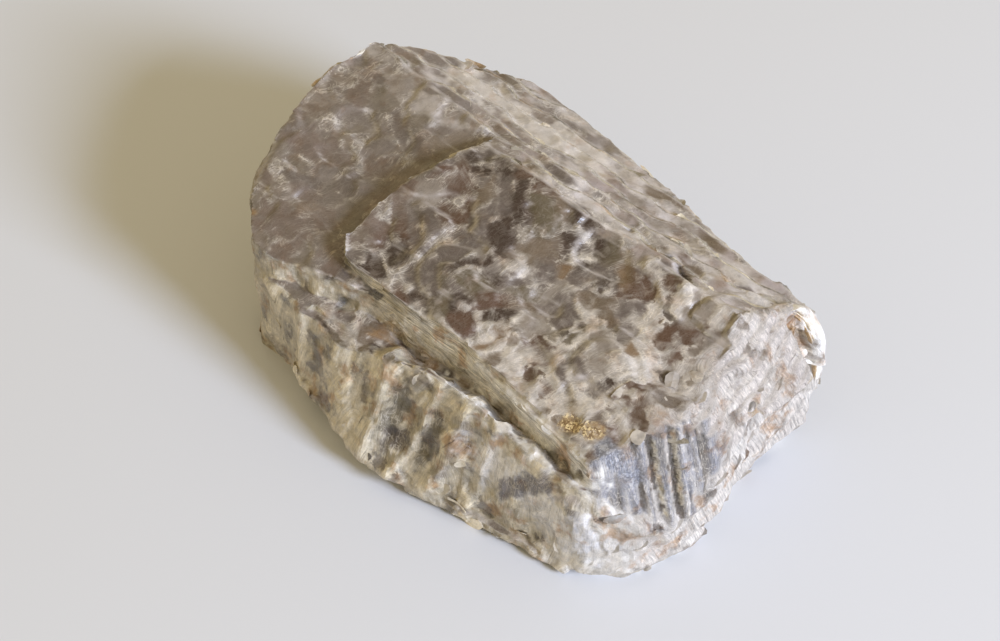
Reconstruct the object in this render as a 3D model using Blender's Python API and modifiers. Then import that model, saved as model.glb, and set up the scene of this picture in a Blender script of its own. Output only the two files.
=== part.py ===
"""Mica crystal: one broken book of mica, lying on a flat cleavage face.

Millimetres in the constants, metres in Blender; +X runs along the book to its pale, fluted end, +Z is up
and the cleavage sheets dip towards -Y. The book is built as the stone is: a block of sheets, a raised
book of sheets on top of it, a broken body along the front, shingled sheets and a curled sheet at the end.
The blocks are fused into one skin by a voxel remesh, and the relief that a hand would feel is then worked
into that skin: flake terraces on the cleavage faces, sheet edges on the walls, pleats along the front.
"""


import bmesh
import bpy
import numpy as np
from mathutils import Matrix

MM = 0.001

# --- driving dimensions, in millimetres -------------------------------------------------------------
VOXEL = 0.9  # grain of the fused skin
TRIANGLES = 9400  # after thinning

# Every surface that was split along the sheets lies on one of these planes: z = height + dip_x*x + dip_y*y.
PLATE = (38.45, -0.05, 0.25)  # top of the raised book
PLATEAU = (35.95, 0.0, 0.25)  # top of the block at the far end, one book lower
FLANK = (45.87, -0.057, -0.44)  # broken slope behind the ridge
END_BEVEL = (108.0, -1.45, -0.05)  # where the sheets break down to the end face
FLUTED_POINT, FLUTED_NORMAL = (48.2, -19.2, 31.0), (0.82, -0.5, 0.29)  # the fluted facet at the near corner
BOOK_THICKNESS = 6.5  # of the raised book, at its front wall

# The block seen from above: far end, back, end face, front wall.
BLOCK_OUTLINE = (
    (-39.2, -28.7), (-34.2, -28.7), (-25.2, -26.7), (-16.2, -24.7), (-12.2, -23.1), (7.8, -22.5),
    (30.8, -25.1), (38.8, -26.3), (44.6, -28.1), (50.8, -24.7), (55.8, -16.1), (57.2, -10.0),
    (57.2, -4.0), (54.4, 3.3), (53.0, 9.3), (53.4, 15.3), (54.6, 21.5), (55.6, 24.6), (52.6, 27.0),
    (39.8, 27.0), (31.3, 28.6), (16.3, 32.4), (-0.2, 36.9), (-16.7, 39.5), (-27.6, 39.6), (-36.6, 33.8),
    (-45.0, 28.3), (-50.4, 22.9), (-53.0, 18.3), (-54.4, 10.7), (-54.6, 3.3), (-53.6, -5.3),
    (-51.2, -11.7), (-49.6, -15.7), (-46.8, -20.1), (-44.2, -23.7),
)
# The raised book seen from above. Its back and its near end run on under the flank and the bevel.
BOOK_OUTLINE = (
    (-23.6, -19.0), (-20.6, -22.6), (-12.6, -22.9), (-6.5, -23.0), (0.7, -22.9), (10.0, -22.3),
    (21.0, -23.5), (33.0, -25.0), (40.0, -26.0), (46.6, -25.2), (51.0, -20.0), (57.0, -10.0),
    (57.0, 16.0), (-16.0, 16.0), (-16.3, 10.9), (-19.5, 3.2), (-22.6, -4.5),
)
# The front body runs between these two lines: its widest edge near the ground, and its shoulder.
GIRTH = (
    (-39.2, -29.3, 4), (-27.2, -31.9, 4), (-18.2, -34.9, 4), (-9.2, -37.7, 4.5), (1.8, -38.5, 4.5),
    (9.8, -37.1, 4.5), (17.8, -35.3, 4.5), (26.8, -32.7, 4), (33.8, -31.7, 3.5), (39.1, -31.6, 3),
    (45.8, -30.2, 2), (52.2, -24.7, 2.5), (55.8, -15.1, 3),
)
# Its last value is how far the shelf behind the shoulder rises, or falls into the notch under the book.
SHOULDER = (
    (-39.2, -29.4, 23, 3), (-29.2, -30.1, 22.5, 4), (-20.2, -30.5, 21.5, 4), (-11.2, -30.9, 21.5, 2),
    (-1.2, -29.4, 25, -7), (5.8, -28.2, 26.6, -9), (13.8, -28.0, 26.8, -9), (22.8, -28.2, 26, -9),
    (30.8, -28.6, 25, -8), (35.8, -28.8, 24.4, -6), (43.8, -29.2, 23.8, -4), (50.4, -26.7, 19.6, -4),
    (55.8, -19.3, 12.5, -2),
)
SHELF_DEPTH = 8.5
BODY_DEPTH = 14.0  # how far the front body runs back into the block at the ground
FOOT_INSET = 5.0  # the flat foot stands back from the girth by this much
UNDERCUTS = (  # (point, outward normal): the broken lower edges of the far end, the back and the end face
    ((-50.7, 0.0, 0.0), (-1.0, -0.1, -0.75)),
    ((-44.0, 25.5, 0.0), (-0.7, 0.7, -0.8)),
    ((0.0, 31.3, 0.0), (0.15, 1.0, -0.6)),
    ((51.4, 0.0, 0.0), (1.0, 0.0, -0.85)),
)

# Shingles: sheets that lap over the flank at the near end.
# Each is (free edge seen from above, rise above the flank).
SHINGLES = (
    (((39.6, 5.0), (39.4, 8.5), (40.6, 13.0), (42.4, 18.0), (46.0, 24.5)), 0.8),
    (((46.6, 5.0), (46.4, 10.0), (47.6, 17.0), (49.0, 24.0)), 1.8),
)
SHINGLE_DEPTH = 3.0

# The curled sheet stands up the corner of the end face, with a slot behind it.
CURL_PATH = ((43.3, 27.0), (48.4, 27.9), (52.8, 27.4), (55.2, 25.6))
CURL_THICKNESS = 1.7
CURL_LOW, CURL_HIGH, CURL_FALL = 12.0, 31.8, 0.65
SLOT_Y, SLOT_WIDTH, SLOT_DEPTH = 21.4, 2.6, 4.5
SLOT_LOW, SLOT_HIGH = 14.0, 31.0

# Sheets that stand proud of the walls: (outline seen from above, level at the origin, thickness).
LEDGES = (
    (
        ((-22.2, -34.1), (-10.2, -37.7), (2.8, -38.9), (15.8, -36.1), (15.8, -28.7), (-22.2, -28.7)),
        14.2, 1.8,
    ),
    (((7.8, -37.5), (21.8, -34.7), (34.8, -32.7), (42.8, -31.5), (41.8, -24.7), (7.8, -28.7)), 12.0, 1.8),
    (((-33.2, 40.3), (-14.2, 40.7), (1.8, 37.3), (1.8, 27.3), (-32.2, 29.3)), 6.0, 5.0),
    (((5.8, 35.5), (23.8, 31.9), (41.8, 28.9), (41.8, 19.3), (5.8, 25.3)), 8.5, 4.0),
    (((-54.8, -6.7), (-55.4, 3.3), (-54.8, 12.3), (-46.2, 13.3), (-46.2, -6.7)), 22.0, 4.5),
    (((-51.2, 25.3), (-40.6, 36.1), (-24.2, 40.9), (-24.2, 31.3), (-42.2, 17.3)), 15.0, 4.0),
)
# Pleats down the front body: (X at half height, how proud, half width, lean towards -X on the way down).
PLEATS = (
    (-33.0, 0.9, 3.0, 0.1), (-23.5, 1.3, 1.8, 0.0), (-10.5, 1.0, 4.0, -0.5), (-2.2, 1.8, 1.9, -0.05),
    (7.2, 1.2, 1.1, 0.24), (14.9, 1.7, 1.9, 0.2), (22.2, 1.0, 1.3, 0.13), (30.5, 1.3, 5.5, 0.0),
    (43.0, 1.3, 3.5, -0.4),
)
PLEAT_MEAN = 0.6  # the front body falls back by this between the pleats
PLEAT_TOP, PLEAT_FOOT = 27.0, 3.0

# --- relief, in millimetres ---------------------------------------------------------------------------
FLAKE_WIDTH = 10.0  # of the flakes that tile a cleavage face
FLAKE_STEP = 0.7  # from one flake down to the next
SHEET = 3.0  # thickness of the sheets that show on a wall
SHEET_PLAY = 0.9  # how far one sheet's edge stands in front of the next
# Grooves down the fluted end: (place along the end at Z 30, lean, half width, depth).
FLUTES = (
    (-0.4, 0.07, 0.8, 1.0), (1.9, 0.11, 0.8, 1.5), (5.7, 0.08, 0.8, 1.5), (9.2, 0.12, 0.8, 0.8),
    (12.2, 0.15, 0.8, 0.6),
)
LUMP_SIZE, LUMP_HEIGHT = 17.0, 0.9  # of the stone's broad unevenness
GRAIN_SIZE, GRAIN_HEIGHT = 5.5, 0.4


def height(plane, x, y):
    return plane[0] + plane[1] * x + plane[2] * y


def unit(vector):
    return np.asarray(vector, float) / np.linalg.norm(vector)


CLEAVAGE = unit((-PLATE[1], -PLATE[2], 1.0))  # the direction across the sheets


# --- blocks -------------------------------------------------------------------------------------------

def prism(outline, low, high):
    """A closed block over a flat outline, from level low to level high."""
    bm = bmesh.new()
    base = bm.faces.new([bm.verts.new((x, y, low)) for x, y in outline])
    grown = bmesh.ops.extrude_face_region(bm, geom=[base])["geom"]
    top = [item for item in grown if isinstance(item, bmesh.types.BMVert)]
    bmesh.ops.translate(bm, verts=top, vec=(0, 0, high - low))
    bmesh.ops.recalc_face_normals(bm, faces=bm.faces)
    return bm


def cut(bm, point, normal):
    """Takes away what lies outside a plane and closes the block again."""
    geometry = bm.verts[:] + bm.edges[:] + bm.faces[:]
    bmesh.ops.bisect_plane(bm, geom=geometry, plane_co=point, plane_no=normal, clear_outer=True)
    bmesh.ops.holes_fill(bm, edges=bm.edges, sides=0)
    bmesh.ops.recalc_face_normals(bm, faces=bm.faces)


def cut_above(bm, plane, lift=0.0):
    cut(bm, (0, 0, plane[0] + lift), (-plane[1], -plane[2], 1.0))


def cut_below(bm, plane, drop):
    cut(bm, (0, 0, plane[0] - drop), (plane[1], plane[2], -1.0))


def hull(points):
    bm = bmesh.new()
    for point in points:
        bm.verts.new(point)
    made = bmesh.ops.convex_hull(bm, input=bm.verts)
    inner = {item for item in made["geom_interior"] if isinstance(item, bmesh.types.BMVert)}
    bmesh.ops.delete(bm, geom=list(inner), context="VERTS")
    bmesh.ops.recalc_face_normals(bm, faces=bm.faces)
    return bm


def block():
    bm = prism(BLOCK_OUTLINE, 0.0, 60.0)
    for plane in (PLATEAU, FLANK, END_BEVEL):
        cut_above(bm, plane)
    cut(bm, FLUTED_POINT, FLUTED_NORMAL)
    for point, normal in UNDERCUTS:
        cut(bm, point, normal)
    return [bm]


def raised_book():
    bm = prism(BOOK_OUTLINE, 0.0, 60.0)
    for plane in (PLATE, FLANK, END_BEVEL):
        cut_above(bm, plane)
    cut(bm, FLUTED_POINT, FLUTED_NORMAL)
    cut_below(bm, PLATE, BOOK_THICKNESS)
    return [bm]


def front_body():
    """One wedge for each stretch between the girth and the shoulder, down to a foot at Z 0."""
    wedges = []
    for first, last in zip(range(len(GIRTH) - 1), range(1, len(GIRTH))):
        corners = []
        for station in (first, last):
            x, y, z = GIRTH[station]
            top_x, top_y, top_z, rise = SHOULDER[station]
            corners += [(x, y, z), (top_x, top_y, top_z), (x, y + FOOT_INSET, 0.0)]
            corners += [(top_x, top_y + BODY_DEPTH, 0.0), (top_x, top_y + SHELF_DEPTH, top_z + rise)]
        wedges.append(hull(corners))
    return wedges


def shingles():
    sheets = []
    for edge, rise in SHINGLES:
        outline = list(edge) + [(58.0, edge[-1][1]), (58.0, edge[0][1])]
        bm = prism(outline, 0.0, 60.0)
        cut_above(bm, FLANK, rise)
        cut_above(bm, PLATE, rise)
        cut_above(bm, END_BEVEL, rise)
        cut_below(bm, FLANK, SHINGLE_DEPTH)
        sheets.append(bm)
    return sheets


def ledges():
    sheets = []
    for outline, level, thickness in LEDGES:
        bm = prism(outline, -30.0, 60.0)
        plane = (level, PLATE[1], PLATE[2])
        cut_above(bm, plane)
        cut_below(bm, plane, thickness)
        cut(bm, (0, 0, 0.6), (0, 0, -1))
        sheets.append(bm)
    return sheets


def curl():
    """An upright wall that follows the curl's path, one hull for each stretch of it."""
    walls = []
    half = CURL_THICKNESS / 2
    for (x0, y0), (x1, y1) in zip(CURL_PATH, CURL_PATH[1:]):
        side = unit((y0 - y1, x1 - x0)) * half
        corners = []
        for x, y in ((x0, y0), (x1, y1)):
            for sign in (-1, 1):
                at = (x + sign * side[0], y + sign * side[1])
                corners += [(*at, CURL_LOW), (*at, CURL_HIGH - CURL_FALL * (x - CURL_PATH[0][0]))]
        walls.append(hull(corners))
    return walls


def mesh_object(name, pieces):
    """Joins closed bmesh pieces, in millimetres, into one object in metres."""
    whole = bmesh.new()
    for piece in pieces:
        mesh = bpy.data.meshes.new("piece")
        piece.to_mesh(mesh)
        piece.free()
        whole.from_mesh(mesh)
        bpy.data.meshes.remove(mesh)
    bmesh.ops.triangulate(whole, faces=whole.faces)
    bmesh.ops.scale(whole, vec=(MM, MM, MM), verts=whole.verts)
    mesh = bpy.data.meshes.new(name)
    whole.to_mesh(mesh)
    whole.free()
    return bpy.data.objects.new(name, mesh)


def evaluated_copy(obj, name):
    """What the object's modifiers make of it, as a mesh of its own."""
    bpy.context.view_layer.update()
    graph = bpy.context.evaluated_depsgraph_get()
    mesh = bpy.data.meshes.new_from_object(obj.evaluated_get(graph))
    mesh.name = name
    bpy.data.objects.remove(obj)
    return mesh


# --- noise, on whole arrays of points ------------------------------------------------------------------

def hashed(cell, seed):
    """A repeatable number from 0 to 1 for each whole-number cell (N by 3)."""
    word = (cell[:, 0] * 374761393 + cell[:, 1] * 668265263 + cell[:, 2] * 1440662683 + seed * 69069)
    word &= 0xFFFFFFFF
    word = ((word ^ (word >> 13)) * 1274126177) & 0xFFFFFFFF
    word = ((word ^ (word >> 15)) * 2246822519) & 0xFFFFFFFF
    return ((word ^ (word >> 16)) & 0xFFFFFF) / 0xFFFFFF


def noise(points, seed):
    """Smooth noise from -1 to 1: the corner values of each unit cell, blended across it."""
    low = np.floor(points).astype(np.int64)
    part = points - low
    blend = part * part * (3 - 2 * part)
    total = np.zeros(len(points))
    for corner in np.ndindex(2, 2, 2):
        weight = np.prod(np.where(corner, blend, 1 - blend), axis=1)
        total += weight * hashed(low + np.array(corner), seed)
    return 2 * total - 1


def layered_noise(points, seed, octaves=3):
    return sum(noise(points * 2**k + 7.3 * k, seed + k) / 2**k for k in range(octaves)) / 1.75


def flakes(points, seed):
    """For each point, its nearest scattered seed's own number, and how far it is from the next flake."""
    low = np.floor(points).astype(np.int64)
    nearest = np.full(len(points), 9.0)
    second = np.full(len(points), 9.0)
    number = np.zeros(len(points))
    for offset in np.ndindex(3, 3, 3):
        cell = low + np.array(offset) - 1
        centre = cell + np.stack([hashed(cell, seed + axis) for axis in range(3)], axis=1)
        away = np.linalg.norm(points - centre, axis=1)
        closer = away < nearest
        second = np.where(closer, nearest, np.minimum(second, away))
        number = np.where(closer, hashed(cell, seed + 9), number)
        nearest = np.minimum(nearest, away)
    return number, second - nearest


def step(low, high, value):
    part = np.clip((value - low) / (high - low), 0, 1)
    return part * part * (3 - 2 * part)


# --- relief -----------------------------------------------------------------------------------------------

def relief(points, normals):
    """How far each point of the skin moves, in millimetres."""
    x, y, z = points.T
    across = points @ CLEAVAGE
    facing = normals @ CLEAVAGE
    warp = np.stack([layered_noise(points / 8.0 + 31 * k, 40 + k) for k in range(3)], axis=1)
    sway = noise(points / 12.0, 44)
    sheet_space = np.stack([x, y, across], axis=1)
    on_front = step(-22, -26, y) * (1 - step(0.8, 0.92, facing)) * (1 - step(26, 29, z + 0.05 * x))
    along = 0.5 * (x - 48) + 0.87 * (y + 19)
    in_front_of = (points - FLUTED_POINT) @ unit(FLUTED_NORMAL)
    on_end = (1 - step(1.0, 2.0, np.abs(in_front_of))) * step(0.75, 0.9, normals @ unit(FLUTED_NORMAL))
    on_end *= step(66.5, 69.5, z + x)

    # Broad lumps and grain, everywhere.
    move = normals * (LUMP_HEIGHT * layered_noise(points / LUMP_SIZE, 3))[:, None]
    move += normals * (GRAIN_HEIGHT * layered_noise(points / GRAIN_SIZE, 5, 2))[:, None]

    # Cleavage faces: flat flakes, each at its own level, with ragged outlines.
    on_face = step(0.86, 0.96, facing)
    flake, _ = flakes((sheet_space + 2.6 * warp) / (FLAKE_WIDTH, FLAKE_WIDTH * 0.7, 14.0), 11)
    level = 2.2 * layered_noise(sheet_space / (19.0, 12.0, 40.0), 71, 2) + 0.9 * flake
    terrace = np.floor(level) + step(0.4, 0.6, level % 1.0)
    move += np.outer(on_face * FLAKE_STEP * (terrace - 0.4), CLEAVAGE)

    # Slopes that cut the sheets at an angle: each sheet ends in a step.
    on_slope = step(0.35, 0.6, facing) * (1 - step(0.86, 0.94, facing)) * (1 - 0.85 * on_front)
    shifted = (across + 2.4 * warp[:, 0]) / SHEET
    rise = (np.floor(shifted) + step(0.35, 0.65, shifted % 1.0) - shifted) * SHEET
    move += np.outer(on_slope * 0.65 * rise, CLEAVAGE)

    # Walls across the sheets: each sheet's edge stands a little in front of or behind the next.
    on_wall = (1 - step(0.35, 0.6, np.abs(facing))) * (1 - 0.85 * on_front) * (1 - on_end)
    level = np.floor((across + 1.2 * warp[:, 1]) / SHEET)
    strip = np.stack([x / 9.0, y / 9.0, level * 3.7], axis=1)
    move += normals * (on_wall * SHEET_PLAY * 1.5 * layered_noise(strip, 23, 2))[:, None]

    # Soft pleats down the front body.
    down = step(PLEAT_FOOT - 2, PLEAT_FOOT + 4, z) * (1 - step(PLEAT_TOP - 4, PLEAT_TOP + 1, z))
    fold = np.full(len(x), -PLEAT_MEAN)
    for centre, proud, half, lean in PLEATS:
        offset = np.abs(x - centre - lean * (z - 15) + 1.6 * sway) / half
        fold += proud * np.exp(-(offset**1.5))
    move += normals * (on_front * down * fold)[:, None]

    # Flutes down the end face.
    groove = np.zeros(len(x))
    for centre, lean, half, depth in FLUTES:
        offset = (along - centre - lean * (30 - z) + 0.6 * sway) / half
        groove += depth * np.exp(-offset * offset)
    move -= normals * (on_end * groove)[:, None]

    # The slot behind the curled sheet.
    in_slot = np.exp(-(((y - SLOT_Y + 0.4 * sway) / (SLOT_WIDTH / 2)) ** 2)) * step(46, 49, x)
    in_slot *= step(SLOT_LOW - 2, SLOT_LOW + 3, z) * (1 - step(SLOT_HIGH - 3, SLOT_HIGH + 1, z))
    move -= np.outer(in_slot * SLOT_DEPTH, (1, 0.1, 0))

    return move * step(0.4, 2.5, z)[:, None]


def worked_skin(mesh):
    """Moves the skin's points by the relief and presses the foot flat on Z 0."""
    count = len(mesh.vertices)
    points = np.empty(count * 3, np.float32)
    mesh.vertices.foreach_get("co", points)
    points = points.reshape(-1, 3).astype(float) / MM
    normals = np.empty(count * 3, np.float32)
    mesh.vertices.foreach_get("normal", normals)
    points += relief(points, normals.reshape(-1, 3).astype(float))
    points[points[:, 2] < 0.45, 2] = 0.0
    mesh.vertices.foreach_set("co", (points * MM).astype(np.float32).ravel())
    mesh.update()


def centred(mesh):
    """Puts the origin on the level of the foot, under the middle of the stone."""
    corners = np.array([v.co for v in mesh.vertices])
    low, high = corners.min(axis=0), corners.max(axis=0)
    middle = (low + high) / 2
    print("moved to the middle by", [round(float(-v / MM), 2) for v in (middle[0], middle[1], low[2])])
    mesh.transform(Matrix.Translation((-middle[0], -middle[1], -low[2])))


def largest_body(mesh):
    """Drops any crumb that the relief or the thinning has set loose."""
    bm = bmesh.new()
    bm.from_mesh(mesh)
    left = set(bm.verts)
    bodies = []
    while left:
        found = {left.pop()}
        front = list(found)
        while front:
            vertex = front.pop()
            fresh = {edge.other_vert(vertex) for edge in vertex.link_edges} - found
            found |= fresh
            front += fresh
        left -= found
        bodies.append(found)
    bodies.sort(key=len)
    for crumb in bodies[:-1]:
        bmesh.ops.delete(bm, geom=list(crumb), context="VERTS")
    bm.to_mesh(mesh)
    bm.free()


def with_modifiers(mesh, name, collection, settings):
    """The mesh after the given modifiers: a list of (type, values)."""
    obj = bpy.data.objects.new(name, mesh)
    collection.objects.link(obj)
    for kind, values in settings:
        modifier = obj.modifiers.new(kind.title(), kind)
        for key, value in values.items():
            setattr(modifier, key, value)
    return evaluated_copy(obj, name)


def mica():
    stone = bpy.data.materials.new("mica")
    stone.use_nodes = True
    shader = stone.node_tree.nodes["Principled BSDF"]
    shader.inputs["Base Color"].default_value = (0.42, 0.37, 0.31, 1.0)
    shader.inputs["Roughness"].default_value = 0.38
    return stone


def main():
    for obj in list(bpy.data.objects):
        bpy.data.objects.remove(obj)
    collection = bpy.data.collections.new("mica_crystal")
    bpy.context.scene.collection.children.link(collection)
    cutters = bpy.data.collections.new("cutters")
    bpy.context.scene.collection.children.link(cutters)

    pieces = block() + raised_book() + front_body() + shingles() + ledges() + curl()
    rough = mesh_object("rough", pieces).data
    skin = with_modifiers(rough, "skin", cutters, [
        ("REMESH", {"mode": "VOXEL", "voxel_size": VOXEL * MM, "adaptivity": 0.0}),
    ])
    worked_skin(skin)
    largest_body(skin)
    share = TRIANGLES / (2 * len(skin.vertices))
    thinned = with_modifiers(skin, "thinned", cutters, [
        ("DECIMATE", {"decimate_type": "COLLAPSE", "ratio": share, "use_collapse_triangulate": True}),
    ])
    largest_body(thinned)
    centred(thinned)
    thinned.name = "mica_crystal"
    thinned.materials.clear()
    thinned.materials.append(mica())
    stone = bpy.data.objects.new("mica_crystal", thinned)
    collection.objects.link(stone)
    size = stone.dimensions / MM
    print("mica_crystal", len(thinned.polygons), "triangles, size in mm", [round(v, 1) for v in size])


main()
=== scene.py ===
import math

import bpy
import numpy as np
from mathutils import Matrix, Vector


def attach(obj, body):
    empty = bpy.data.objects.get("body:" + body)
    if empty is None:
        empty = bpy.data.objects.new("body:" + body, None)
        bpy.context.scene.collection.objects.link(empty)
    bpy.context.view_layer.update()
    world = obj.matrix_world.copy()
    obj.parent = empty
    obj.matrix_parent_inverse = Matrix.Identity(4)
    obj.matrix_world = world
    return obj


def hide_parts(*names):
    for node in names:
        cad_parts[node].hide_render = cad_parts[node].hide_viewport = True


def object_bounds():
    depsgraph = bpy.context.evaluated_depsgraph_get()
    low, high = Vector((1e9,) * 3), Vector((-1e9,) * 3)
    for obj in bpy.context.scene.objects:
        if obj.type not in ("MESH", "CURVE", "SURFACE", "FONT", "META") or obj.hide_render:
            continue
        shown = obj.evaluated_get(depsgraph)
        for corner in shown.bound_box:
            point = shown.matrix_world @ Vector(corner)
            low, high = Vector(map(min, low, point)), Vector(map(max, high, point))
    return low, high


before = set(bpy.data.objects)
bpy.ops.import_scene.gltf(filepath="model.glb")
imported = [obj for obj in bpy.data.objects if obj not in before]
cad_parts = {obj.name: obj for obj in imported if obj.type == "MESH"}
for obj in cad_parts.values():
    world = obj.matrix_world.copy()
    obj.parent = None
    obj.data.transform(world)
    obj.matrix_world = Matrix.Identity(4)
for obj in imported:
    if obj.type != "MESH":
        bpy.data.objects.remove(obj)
cadBox = [list(corner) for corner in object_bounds()]

# Everything below is in millimetres in the stone's own drawing; rowShift and mm are applied at the end.
mm = 0.001
rowShift = np.array([-1.11, -0.99, 0.02])

# Each surface split along the sheets is z = height + dipX * x + dipY * y.
sheets = {
    "plate": (38.45, -0.05, 0.25),  # top of the raised book
    "plateau": (35.95, 0.0, 0.25),  # top of the block, one book lower
    "flank": (45.87, -0.057, -0.44),  # slope behind the ridge
    "bevel": (108.0, -1.45, -0.05),  # where the sheets break down to the end face
    "bookThickness": 6.5,
    "flutedPoint": (48.2, -19.2, 31.0),
    "flutedNormal": (0.82, -0.5, 0.29),
}


def unit(vector):
    return np.asarray(vector, float) / np.linalg.norm(vector)


def level(plane, x, y):
    return plane[0] + plane[1] * x + plane[2] * y


def ease(low, high, value):
    # 0 below low, 1 above high, and the smooth cubic 3t^2 - 2t^3 between them.
    part = np.clip((value - low) / (high - low), 0, 1)
    return part * part * (3 - 2 * part)


cleavage = unit((-sheets["plate"][1], -sheets["plate"][2], 1.0))
flutedNormal = unit(sheets["flutedNormal"])


# noise on whole arrays of points

def cellNumber(cell, seed):
    # Multiply, shift and exclusive-or make each whole-number cell a repeatable number from 0 to 1.
    word = (cell[:, 0] * 374761393 + cell[:, 1] * 668265263 + cell[:, 2] * 1440662683 + seed * 69069)
    word &= 0xFFFFFFFF
    word = ((word ^ (word >> 13)) * 1274126177) & 0xFFFFFFFF
    word = ((word ^ (word >> 15)) * 2246822519) & 0xFFFFFFFF
    return ((word ^ (word >> 16)) & 0xFFFFFF) / 0xFFFFFF


def softNoise(points, seed):
    # The eight corner numbers of a point's cell, blended by its eased place inside the cell, from -1 to 1.
    low = np.floor(points).astype(np.int64)
    part = points - low
    blend = part * part * (3 - 2 * part)
    total = np.zeros(len(points))
    for corner in np.ndindex(2, 2, 2):
        weight = np.prod(np.where(corner, blend, 1 - blend), axis=1)
        total += weight * cellNumber(low + np.array(corner), seed)
    return 2 * total - 1


def layeredNoise(points, seed, octaves=3):
    # Soft noise added to itself at double the fineness and half the height.
    return sum(softNoise(points * 2**k + 7.3 * k, seed + k) / 2**k for k in range(octaves)) / 1.75


def flakeCells(points, seed):
    # One scattered seed a cell: the number of the nearest seed, and the second distance less the first.
    low = np.floor(points).astype(np.int64)
    nearest = np.full(len(points), 9.0)
    second = np.full(len(points), 9.0)
    number = np.zeros(len(points))
    for offset in np.ndindex(3, 3, 3):
        cell = low + np.array(offset) - 1
        centre = cell + np.stack([cellNumber(cell, seed + axis) for axis in range(3)], axis=1)
        away = np.linalg.norm(points - centre, axis=1)
        closer = away < nearest
        second = np.where(closer, nearest, np.minimum(second, away))
        number = np.where(closer, cellNumber(cell, seed + 9), number)
        nearest = np.minimum(nearest, away)
    return number, second - nearest


# surfaces of two parameters

def evenLoop(corners, spacing):
    # The corners joined by straight runs, read off at even spacing all the way round.
    loop = np.array(list(corners) + [corners[0]], float)
    along = np.concatenate([[0], np.cumsum(np.linalg.norm(np.diff(loop, axis=0), axis=1))])
    at = np.linspace(0, along[-1], int(along[-1] / spacing), endpoint=False)
    return np.stack([np.interp(at, along, loop[:, k]) for k in range(loop.shape[1])], axis=1)


def tubeFaces(count, around):
    # Quads between ring i and ring i + 1, all the way round, and a fan of triangles to each end's middle.
    i = np.arange(count - 1)[:, None]
    j = np.arange(around)[None, :]
    k = (j + 1) % around
    quads = np.stack([i * around + j, i * around + k, (i + 1) * around + k, (i + 1) * around + j], axis=-1)
    j, k = j[0], k[0]
    last = (count - 1) * around
    first = np.stack([np.full(around, count * around), k, j], axis=1)
    end = np.stack([np.full(around, count * around + 1), last + j, last + k], axis=1)
    return quads.reshape(-1, 4).tolist() + first.tolist() + end.tolist()


def closedTube(rings):
    # Rings of points (count, around, 3) with a middle point added at each end.
    points = np.concatenate([rings.reshape(-1, 3), rings[:1].mean(axis=1), rings[-1:].mean(axis=1)])
    return points, tubeFaces(rings.shape[0], rings.shape[1])


grid = {"foot": 20, "wall": 40, "top": 62, "hub": 0.02, "spacing": 1.1}  # points along v, and between them on u


def standingBlock(corners, top, bottom, pushes=(), spacing=grid["spacing"]):
    # u runs round the outline; v runs from the middle of the foot out to the edge, up the wall and back in over
    # the top. A point is the middle plus share(v) of the way to the outline, at bottom + rise(v) * its height.
    edge = evenLoop(corners, spacing)
    middle = edge.mean(axis=0)
    foot, wall, over, hub = grid["foot"], grid["wall"], grid["top"], grid["hub"]
    share = np.concatenate([np.linspace(hub, 1, foot), np.ones(wall), np.linspace(1, hub, over)])[:, None]
    rise = np.concatenate([np.zeros(foot), np.linspace(0, 1, wall), np.ones(over)])[:, None]
    x = middle[0] + share * (edge[:, 0] - middle[0])
    y = middle[1] + share * (edge[:, 1] - middle[1])
    z = bottom(x, y) + rise * (top(x, y) - bottom(x, y))
    for point, normal in pushes:  # what stands outside a push plane moves level until it is on it
        across = unit(normal)
        outside = (x - point[0]) * across[0] + (y - point[1]) * across[1] + (z - point[2]) * across[2]
        outside = np.maximum(outside, 0) / (across[0] ** 2 + across[1] ** 2)
        x = x - outside * across[0]
        y = y - outside * across[1]
        z = np.minimum(z, top(x, y))
    return closedTube(np.stack([x, y, z], axis=-1))


def carriedProfile(stations):
    # Stations (count, corners, 3): each corner runs straight from station to station, and the profile is read
    # off at even spacing round each of them.
    stations = np.array(stations, float)
    run = np.concatenate([[0], np.cumsum(np.linalg.norm(np.diff(stations.mean(axis=1), axis=0), axis=1))])
    at = np.linspace(0, run[-1], max(2, int(run[-1] / grid["spacing"])))
    flat = stations.reshape(len(stations), -1)
    corners = np.stack([np.interp(at, run, flat[:, k]) for k in range(flat.shape[1])], axis=1)
    corners = corners.reshape(len(at), -1, 3)
    after = np.roll(corners, -1, axis=1)
    steps = max(2, int(np.linalg.norm(after - corners, axis=2).mean() / grid["spacing"]))
    part = np.linspace(0, 1, steps, endpoint=False)[None, None, :, None]
    rings = corners[:, :, None] * (1 - part) + after[:, :, None] * part
    return closedTube(rings.reshape(len(at), -1, 3))


# the book's blocks, drawn with the same sizes as the solid

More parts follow.
